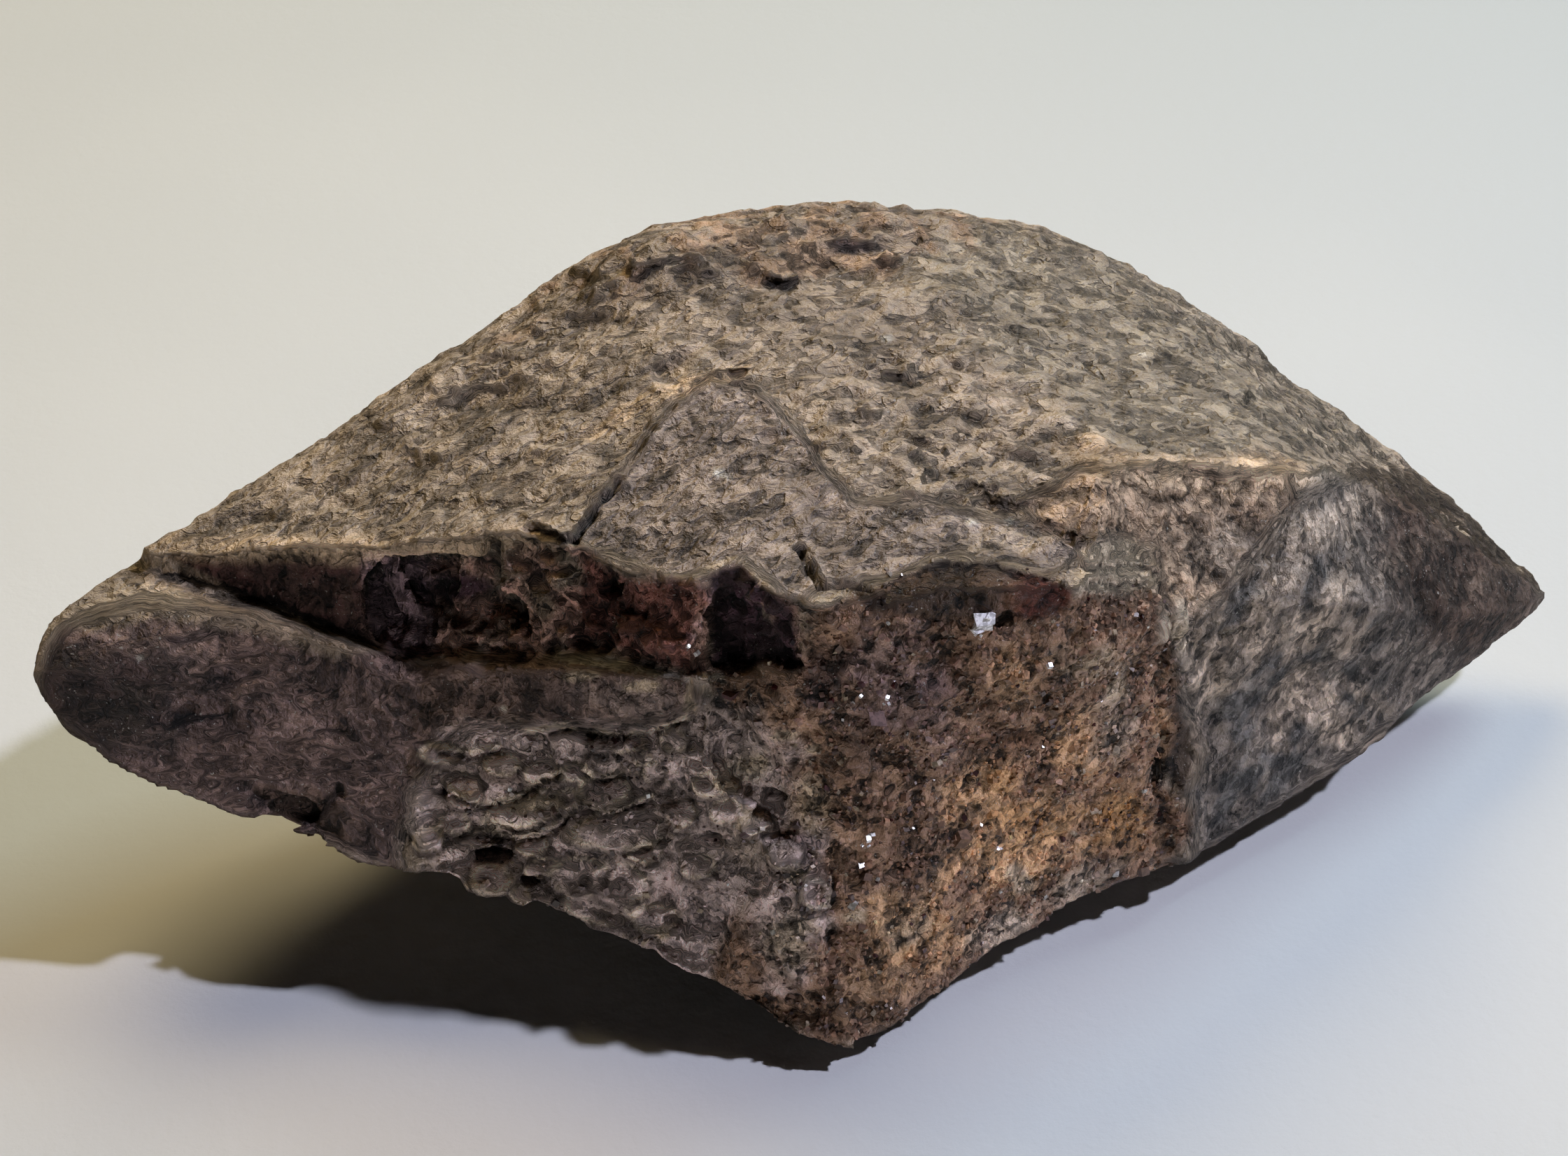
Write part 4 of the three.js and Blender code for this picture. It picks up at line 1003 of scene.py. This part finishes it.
class Finish:
    """A material and the nodes that make it. Sizes are in millimetres."""

    def __init__(self, name):
        self.material = bpy.data.materials.new(name)
        self.material.use_nodes = True
        self.tree = self.material.node_tree
        self.tree.nodes.clear()
        self.shader = self.node("ShaderNodeBsdfPrincipled")
        self.node("ShaderNodeOutputMaterial", {"Surface": self.shader.outputs[0]})
        place = self.node("ShaderNodeTexCoord").outputs["Object"]
        self.mm = self.node("ShaderNodeVectorMath", {0: place, "Scale": 1000.0}, operation="SCALE").outputs[0]

    def node(self, kind, inputs=None, **settings):
        """A new node, its inputs linked or set."""
        made = self.tree.nodes.new(kind)
        for name, value in settings.items():
            setattr(made, name, value)
        for name, value in (inputs or {}).items():
            if isinstance(value, bpy.types.NodeSocket):
                self.tree.links.new(value, made.inputs[name])
            else:
                made.inputs[name].default_value = value
        return made

    def set(self, name, value):
        """Links or sets one input of the shader."""
        if isinstance(value, bpy.types.NodeSocket):
            self.tree.links.new(value, self.shader.inputs[name])
        else:
            self.shader.inputs[name].default_value = value

    def noise(self, size, detail=4.0, roughness=0.55, distortion=0.0, place=None):
        """Fractal noise with bumps of about that size."""
        inputs = {
            "Vector": place or self.mm, "Scale": 1 / size, "Detail": detail, "Roughness": roughness,
            "Distortion": distortion,
        }
        return self.node("ShaderNodeTexNoise", inputs, noise_type="FBM").outputs[0]

    def turned(self, turn, scale):
        """The place in the part, turned by degrees and stretched."""
        inputs = {"Vector": self.mm, "Rotation": (0, 0, math.radians(turn)), "Scale": scale}
        return self.node("ShaderNodeMapping", inputs).outputs[0]

    def math(self, operation, a, b=0.0, clamp=False):
        """One step of arithmetic."""
        return self.node("ShaderNodeMath", {0: a, 1: b}, operation=operation, use_clamp=clamp).outputs[0]

    def plus(self, total, value, share):
        """A number with that share of another added to it."""
        return self.math("ADD", total, self.math("MULTIPLY", value, share))

    def minus(self, a, b):
        """The difference of two vectors."""
        return self.node("ShaderNodeVectorMath", {0: a, 1: b}, operation="SUBTRACT").outputs[0]

    def dot(self, a, b):
        """How far one vector goes along another."""
        return self.node("ShaderNodeVectorMath", {0: a, 1: b}, operation="DOT_PRODUCT").outputs["Value"]

    def winding(self, noise, strength):
        """Thin winding lines where a noise crosses its middle."""
        away = self.math("ABSOLUTE", self.math("SUBTRACT", noise, 0.5))
        return self.between(away, 0.018, 0.045, strength, 0.0)

    def between(self, value, low, high, to_low=0.0, to_high=1.0):
        """A number brought from one range softly into another."""
        inputs = {"Value": value, "From Min": low, "From Max": high, "To Min": to_low, "To Max": to_high}
        made = self.node("ShaderNodeMapRange", inputs, interpolation_type="SMOOTHSTEP")
        return made.outputs[0]

    def mix(self, share, first, second):
        """A colour between two colours."""
        def colour(value):
            return (*value, 1) if isinstance(value, tuple) and len(value) == 3 else value

        inputs = {"Fac": share, "Color1": colour(first), "Color2": colour(second)}
        return self.node("ShaderNodeMixRGB", inputs, blend_type="MIX").outputs[0]

    def shaded(self, colour, factor):
        """A colour made lighter or darker by a number."""
        return self.node("ShaderNodeVectorMath", {0: colour, "Scale": factor}, operation="SCALE").outputs[0]

    def attribute(self, name, output="Fac"):
        """What the vertices keep under a name."""
        return self.node("ShaderNodeAttribute", attribute_name=name).outputs[output]

    def bump(self, height, strength=1.0):
        """Fine relief in the shading, its height in millimetres."""
        inputs = {"Height": height, "Distance": MM, "Strength": strength}
        self.set("Normal", self.node("ShaderNodeBump", inputs).outputs[0])


def weathered_stone():
    """Weathered calcite skin: dusty wrinkles on top, crystal grains on the broken front, painted shade in its
    hollows.
    """
    f = Finish("weathered_stone")
    paint = f.attribute("paint", "Color")
    grainy, crown, side = f.attribute("grainy"), f.attribute("crown"), f.attribute("side")
    dust, hollow_shade = f.attribute("dust"), f.attribute("hollow_shade")

    along = f.turned(GRAIN_TURN, (0.7, 1, 1))
    upright = f.node("ShaderNodeMapping", {"Vector": f.mm, "Scale": (0.85, 1.0, 0.66)}).outputs[0]
    slanted = f.node("ShaderNodeMapping", {"Vector": f.mm, "Scale": (1.1, 1.15, 0.85)}).outputs[0]
    place = f.mix(side, f.mix(crown, upright, along), slanted)
    broad = f.noise(6.5, 3)
    medium = f.noise(1.5, 5, 0.65, 0.5, place)
    fine = f.noise(0.55, 4, 0.7, 0.3, place)
    large_curls = f.winding(f.noise(1.2, 2.5, 0.55, 0.7, place), 1.0)
    small_curls = f.winding(f.noise(0.75, 2, 0.5, 0.9, place), 0.9)
    curls = f.math("MAXIMUM", large_curls, small_curls)
    large_flecks = f.between(f.noise(1.8, 1.6, 0.5, 0.9, place), 0.53, 0.555)
    small_flecks = f.between(f.noise(1.0, 1.4, 0.5, 1.0, place), 0.54, 0.565, 0.0, 0.9)
    flecks = f.math("MAXIMUM", large_flecks, small_flecks)
    patches = f.between(medium, 0.44, 0.56)
    grit = f.between(fine, 0.465, 0.535)
    speckle = f.noise(0.2, 2, 0.5)

    cells = f.node("ShaderNodeTexVoronoi", {"Vector": f.mm, "Scale": 1 / 0.62, "Randomness": 1.0})
    tint = f.node("ShaderNodeSeparateColor", {"Color": cells.outputs["Color"]})
    offset = f.minus(f.mm, cells.outputs["Position"])
    facet = f.dot(offset, f.minus(cells.outputs["Color"], (0.5, 0.5, 0.5)))

    # how light the skin is here: darker in its recesses as painted shade, dusty tan on what stands up
    blotches = f.between(f.noise(2.7, 3, 0.55, 0.3, place), 0.46, 0.53, -0.5, 0.5)
    calm = f.math("MAXIMUM", crown, f.math("MULTIPLY", side, 0.6))
    fewer_flecks = f.between(side, 0.0, 1.0, 1.0, 0.7)
    fleck_share = f.math("MULTIPLY", f.between(medium, 0.38, 0.58, 0.4, 0.8), fewer_flecks)
    facets = f.between(tint.outputs[0], 0.3, 0.8, -0.12, 0.14)
    tone = f.plus(0.09, patches, 0.20)
    tone = f.plus(tone, grit, 0.15)
    tone = f.plus(tone, curls, f.between(side, 0.0, 1.0, 0.20, 0.06))
    tone = f.plus(tone, blotches, f.between(calm, 0.0, 1.0, 0.34, 0.08))
    tone = f.plus(tone, flecks, fleck_share)
    tone = f.plus(tone, facets, grainy)
    tone = f.plus(tone, dust, 0.5)
    tone = f.math("SUBTRACT", tone, f.math("MULTIPLY", hollow_shade, 0.35), clamp=True)

    paint = f.shaded(paint, f.between(broad, 0.42, 0.58, 0.84, 1.16))
    paint = f.shaded(paint, f.between(f.noise(2.8, 4, 0.6, 0.8, place), 0.42, 0.58, 0.68, 1.32))
    dark = f.shaded(paint, f.between(crown, 0.0, 1.0, 0.12, 0.28))
    lightness = f.node("ShaderNodeRGBToBW", {"Color": paint}).outputs[0]
    dusty = f.between(lightness, 0.03, 0.22, 0.08, 0.4)
    light = f.mix(dusty, f.shaded(paint, f.between(crown, 0.0, 1.0, 2.3, 1.93)), TAN_DUST)
    colour = f.mix(tone, dark, light)
    # Painted shade: darker in the hollows.
    colour = f.shaded(colour, f.between(hollow_shade, 0.15, 1.0, 1.0, 0.45))
    specks = f.math("MULTIPLY", f.between(speckle, 0.66, 0.70), f.between(medium, 0.48, 0.56))
    colour = f.mix(f.math("MULTIPLY", specks, 0.7), colour, PALE_SCRATCH_AND_LEDGE_HIGHLIGHT)
    f.set("Base Color", colour)

    gloss = f.math("MULTIPLY", grainy, f.between(tint.outputs[1], 0.66, 0.72))
    f.set("Roughness", f.between(gloss, 0.0, 1.0, 0.84, 0.3))
    f.set("Specular IOR Level", 0.4)

    height = f.math("MULTIPLY", f.noise(1.1, 4, 0.6, 0.5, place), f.between(crown, 0.0, 1.0, 1.7, 1.2))
    height = f.plus(height, flecks, 0.30)
    height = f.plus(height, fine, 0.5)
    height = f.plus(height, f.math("MULTIPLY", facet, grainy), 0.35)
    f.bump(height, 1.0)
    return f.material


def pale_paper():
    """Rough pale paper under the stone, bluer towards the far right as painted cool light."""
    f = Finish("pale_paper")
    tooth = f.noise(1.6, 5, 0.6)
    stain = f.noise(60, 2)
    far_right = f.dot(f.mm, (0.7, 0.7, 0.0))
    plain = f.mix(f.between(stain, 0.3, 0.7), PAPER, PAPER_LIGHT)
    # Bluer towards the far right: painted cool light.
    f.set("Base Color", f.mix(f.between(far_right, 0.0, 260.0), plain, PAPER_FAR_COOL_LIGHT))
    f.set("Roughness", 0.9)
    f.set("Specular IOR Level", 0.2)
    f.bump(f.math("MULTIPLY", tooth, 0.12), 0.6)
    return f.material


# ---- Loose calcite grains on the broken front ----


def calcite_rhomb():
    """One cleavage rhomb of calcite, a millimetre long: a cube squashed along its diagonal."""
    bpy.ops.object.select_all(action="DESELECT")
    bpy.ops.mesh.primitive_cube_add(size=1)
    rhomb = bpy.context.object
    corners = np.array([v.co[:] for v in rhomb.data.vertices])
    diagonal = np.array([1, 1, 1]) / math.sqrt(3)
    corners -= 0.3 * (corners @ diagonal)[:, None] * diagonal
    put_points(rhomb, corners)
    return rhomb


def turn_from(chance):
    """A random turn as a matrix."""
    q = chance.normal(size=4)
    w, x, y, z = q / np.linalg.norm(q)
    return np.array([
        [1 - 2 * (y * y + z * z), 2 * (x * y - z * w), 2 * (x * z + y * w)],
        [2 * (x * y + z * w), 1 - 2 * (x * x + z * z), 2 * (y * z - x * w)],
        [2 * (x * z - y * w), 2 * (y * z + x * w), 1 - 2 * (x * x + y * y)],
    ])


def copy_of(rhomb, points):
    """A copy of the rhomb with its corners at those points."""
    grain = bpy.data.objects.new("grain", rhomb.data.copy())
    bpy.context.scene.collection.objects.link(grain)
    put_points(grain, points)
    return grain


def sown(look, rhomb, chance):
    """Grains sown over the broken front and sunk about halfway into it."""
    rough = look.zone(ROUGH_FRONT, 22, 22) * smoothstep(-0.7, 0.3, look.fray)
    rough = rough * smoothstep(880, 1120, look.u) * (1 - look.zone(AMBER_SPOT, 6, 2))
    rough = np.maximum(rough, 0.12 * look.zone(CRUMBLY, 10, 10))
    spots = chance.choice(len(look.points), GRAIN_COUNT, replace=False, p=rough / rough.sum())
    corners = points_of(rhomb)
    grains = []
    for spot in spots:
        size = 0.15 * math.exp(chance.normal(0, 0.45)) + 0.05
        shape = corners * chance.uniform(0.7, 1.3, 3) @ turn_from(chance).T * size
        grains.append(copy_of(rhomb, shape + look.points[spot] + look.normals[spot] * 0.05 * size))
    return grains


def glinting(look, rhomb):
    """Clear grains that turn their largest face to mirror the window."""
    corners = points_of(rhomb)
    grains = []
    top_face = Vector(max((face.normal for face in rhomb.data.polygons), key=lambda way: way.z))
    for number, (u, v, size) in enumerate(GLINTS):
        toward = -ray_through(u, v)
        spin = Matrix.Rotation(math.radians(30) * number, 3, top_face)
        turn = np.array(top_face.rotation_difference(Vector(SHINE + toward)).to_matrix() @ spin)
        shape = 2 * size * corners @ turn.T
        grains.append(copy_of(rhomb, shape + look.hit(u, v) + (0.4 - 0.45 * size) * toward))
    return grains


def calcite_grains(piece):
    """All the grains as one piece, each coloured after the stone right under it."""
    look = Survey(piece)
    chance = np.random.default_rng(12)
    rhomb = calcite_rhomb()
    grains = sown(look, rhomb, chance) + glinting(look, rhomb)
    bpy.data.objects.remove(rhomb)
    whole = joined(grains)
    whole.name = whole.data.name = "calcite_grains"
    put_points(whole, keep_in_box(points_of(whole)))
    middles = points_of(whole).reshape(-1, 8, 3).mean(1)
    tree = KDTree(len(look.points))
    for number, place in enumerate(look.points):
        tree.insert(place, number)
    tree.balance()
    below = np.array([tree.find(place)[1] for place in middles])
    shade = np.exp(chance.normal(-0.2, 0.35, len(middles)))
    colour = paint_of(piece)[below] * shade[:, None]
    for share, pigment in ((0.05, TAN_DUST), (0.006, PALE_SCRATCH_AND_LEDGE_HIGHLIGHT), (0.03, AMBER), (0.03, NOSE_BROWN)):
        chosen = chance.random(len(middles)) < share
        colour[chosen] = np.array(pigment) * chance.uniform(0.7, 1.1, (chosen.sum(), 1))
    gloss = chance.random(len(middles))
    spots = np.array([look.hit(u, v) for u, v, _ in GLINTS])
    clear = np.array([np.linalg.norm(spots - place, axis=1).min() < 0.5 for place in middles])
    # The glinting grains near-white and glossy: partly a painted glint.
    colour[clear], gloss[clear] = CLEAR_CALCITE_AND_GLINT, 0.8
    store(whole, "paint", np.repeat(np.clip(colour, 0.01, 0.9), 8, axis=0))
    store(whole, "gloss", np.repeat(gloss, 8))
    return whole


def grain_calcite():
    """Clean faces of calcite, some of them bright."""
    f = Finish("grain_calcite")
    flaw = f.noise(0.3, 2)
    f.set("Base Color", f.shaded(f.attribute("paint", "Color"), f.between(flaw, 0.4, 0.6, 0.7, 1.25)))
    f.set("Roughness", f.between(f.attribute("gloss"), 0.3, 0.9, 0.75, 0.22))
    f.set("Specular IOR Level", 0.6)
    return f.material


def finished(piece, material):
    """Gives a piece its one material and says what it belongs to."""
    piece.data.materials.clear()
    piece.data.materials.append(material)
    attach(piece, "root")
    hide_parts("glendonite")


finished(calcite_grains(stone), grain_calcite())
finished(stone, weathered_stone())


# ---- Floor, light and camera ----


def floor():
    """The sheet of paper."""
    bpy.ops.object.select_all(action="DESELECT")
    bpy.ops.mesh.primitive_plane_add(size=4)
    paper = bpy.context.object
    paper.name = "paper"
    for vertex in paper.data.vertices:
        vertex.co.z = -0.02 * MM
    paper.data.materials.append(pale_paper())


def area_light(name, direction, distance, size, power, colour, spread=180):
    """A square soft light that looks at the stone from a direction, within a cone of that many degrees."""
    data = bpy.data.lights.new(name, "AREA")
    data.energy, data.size, data.color = power, size, colour
    data.spread = math.radians(spread)
    lamp = bpy.data.objects.new(name, data)
    bpy.context.scene.collection.objects.link(lamp)
    away = Vector(direction).normalized()
    lamp.location = away * distance + Vector((0, 0, 0.015))
    lamp.rotation_euler = away.to_track_quat("Z", "Y").to_euler()


def lights():
    """The window, two lamps, a pale card and a dim room."""
    area_light("window", SHINE, 0.55, 0.02, 0.188, (0.773, 0.803, 1.0), 60)
    area_light("warm_lamp", (-0.110, 0.4405, 0.891), 0.38, 0.20, 0.639, (1.0, 0.805, 0.445))
    area_light("sky", (0.621, 0.166, 0.766), 0.50, 0.20, 0.748, (0.725, 0.946, 1.0))
    area_light("pale_card", (-0.15, -0.98, 0.008), 1.20, 0.08, 1.5, (0.96, 0.97, 1.0))
    world = bpy.data.worlds.new("room")
    bpy.context.scene.world = world
    world.use_nodes = True
    background = world.node_tree.nodes["Background"]
    background.inputs["Color"].default_value = (0.86, 0.92, 1.0, 1)
    background.inputs["Strength"].default_value = 0.001


def camera():
    """The viewer, where the working view is seen from."""
    data = bpy.data.cameras.new("camera")
    data.lens, data.sensor_width = LENS, FILM_WIDTH
    viewer = bpy.data.objects.new("camera", data)
    bpy.context.scene.collection.objects.link(viewer)
    viewer.location = Vector(EYE * MM)
    viewer.rotation_euler = Vector(ahead).to_track_quat("-Z", "Y").to_euler()
    bpy.context.scene.camera = viewer


floor()
lights()
camera()
bpy.context.scene.view_settings.view_transform = "Standard"
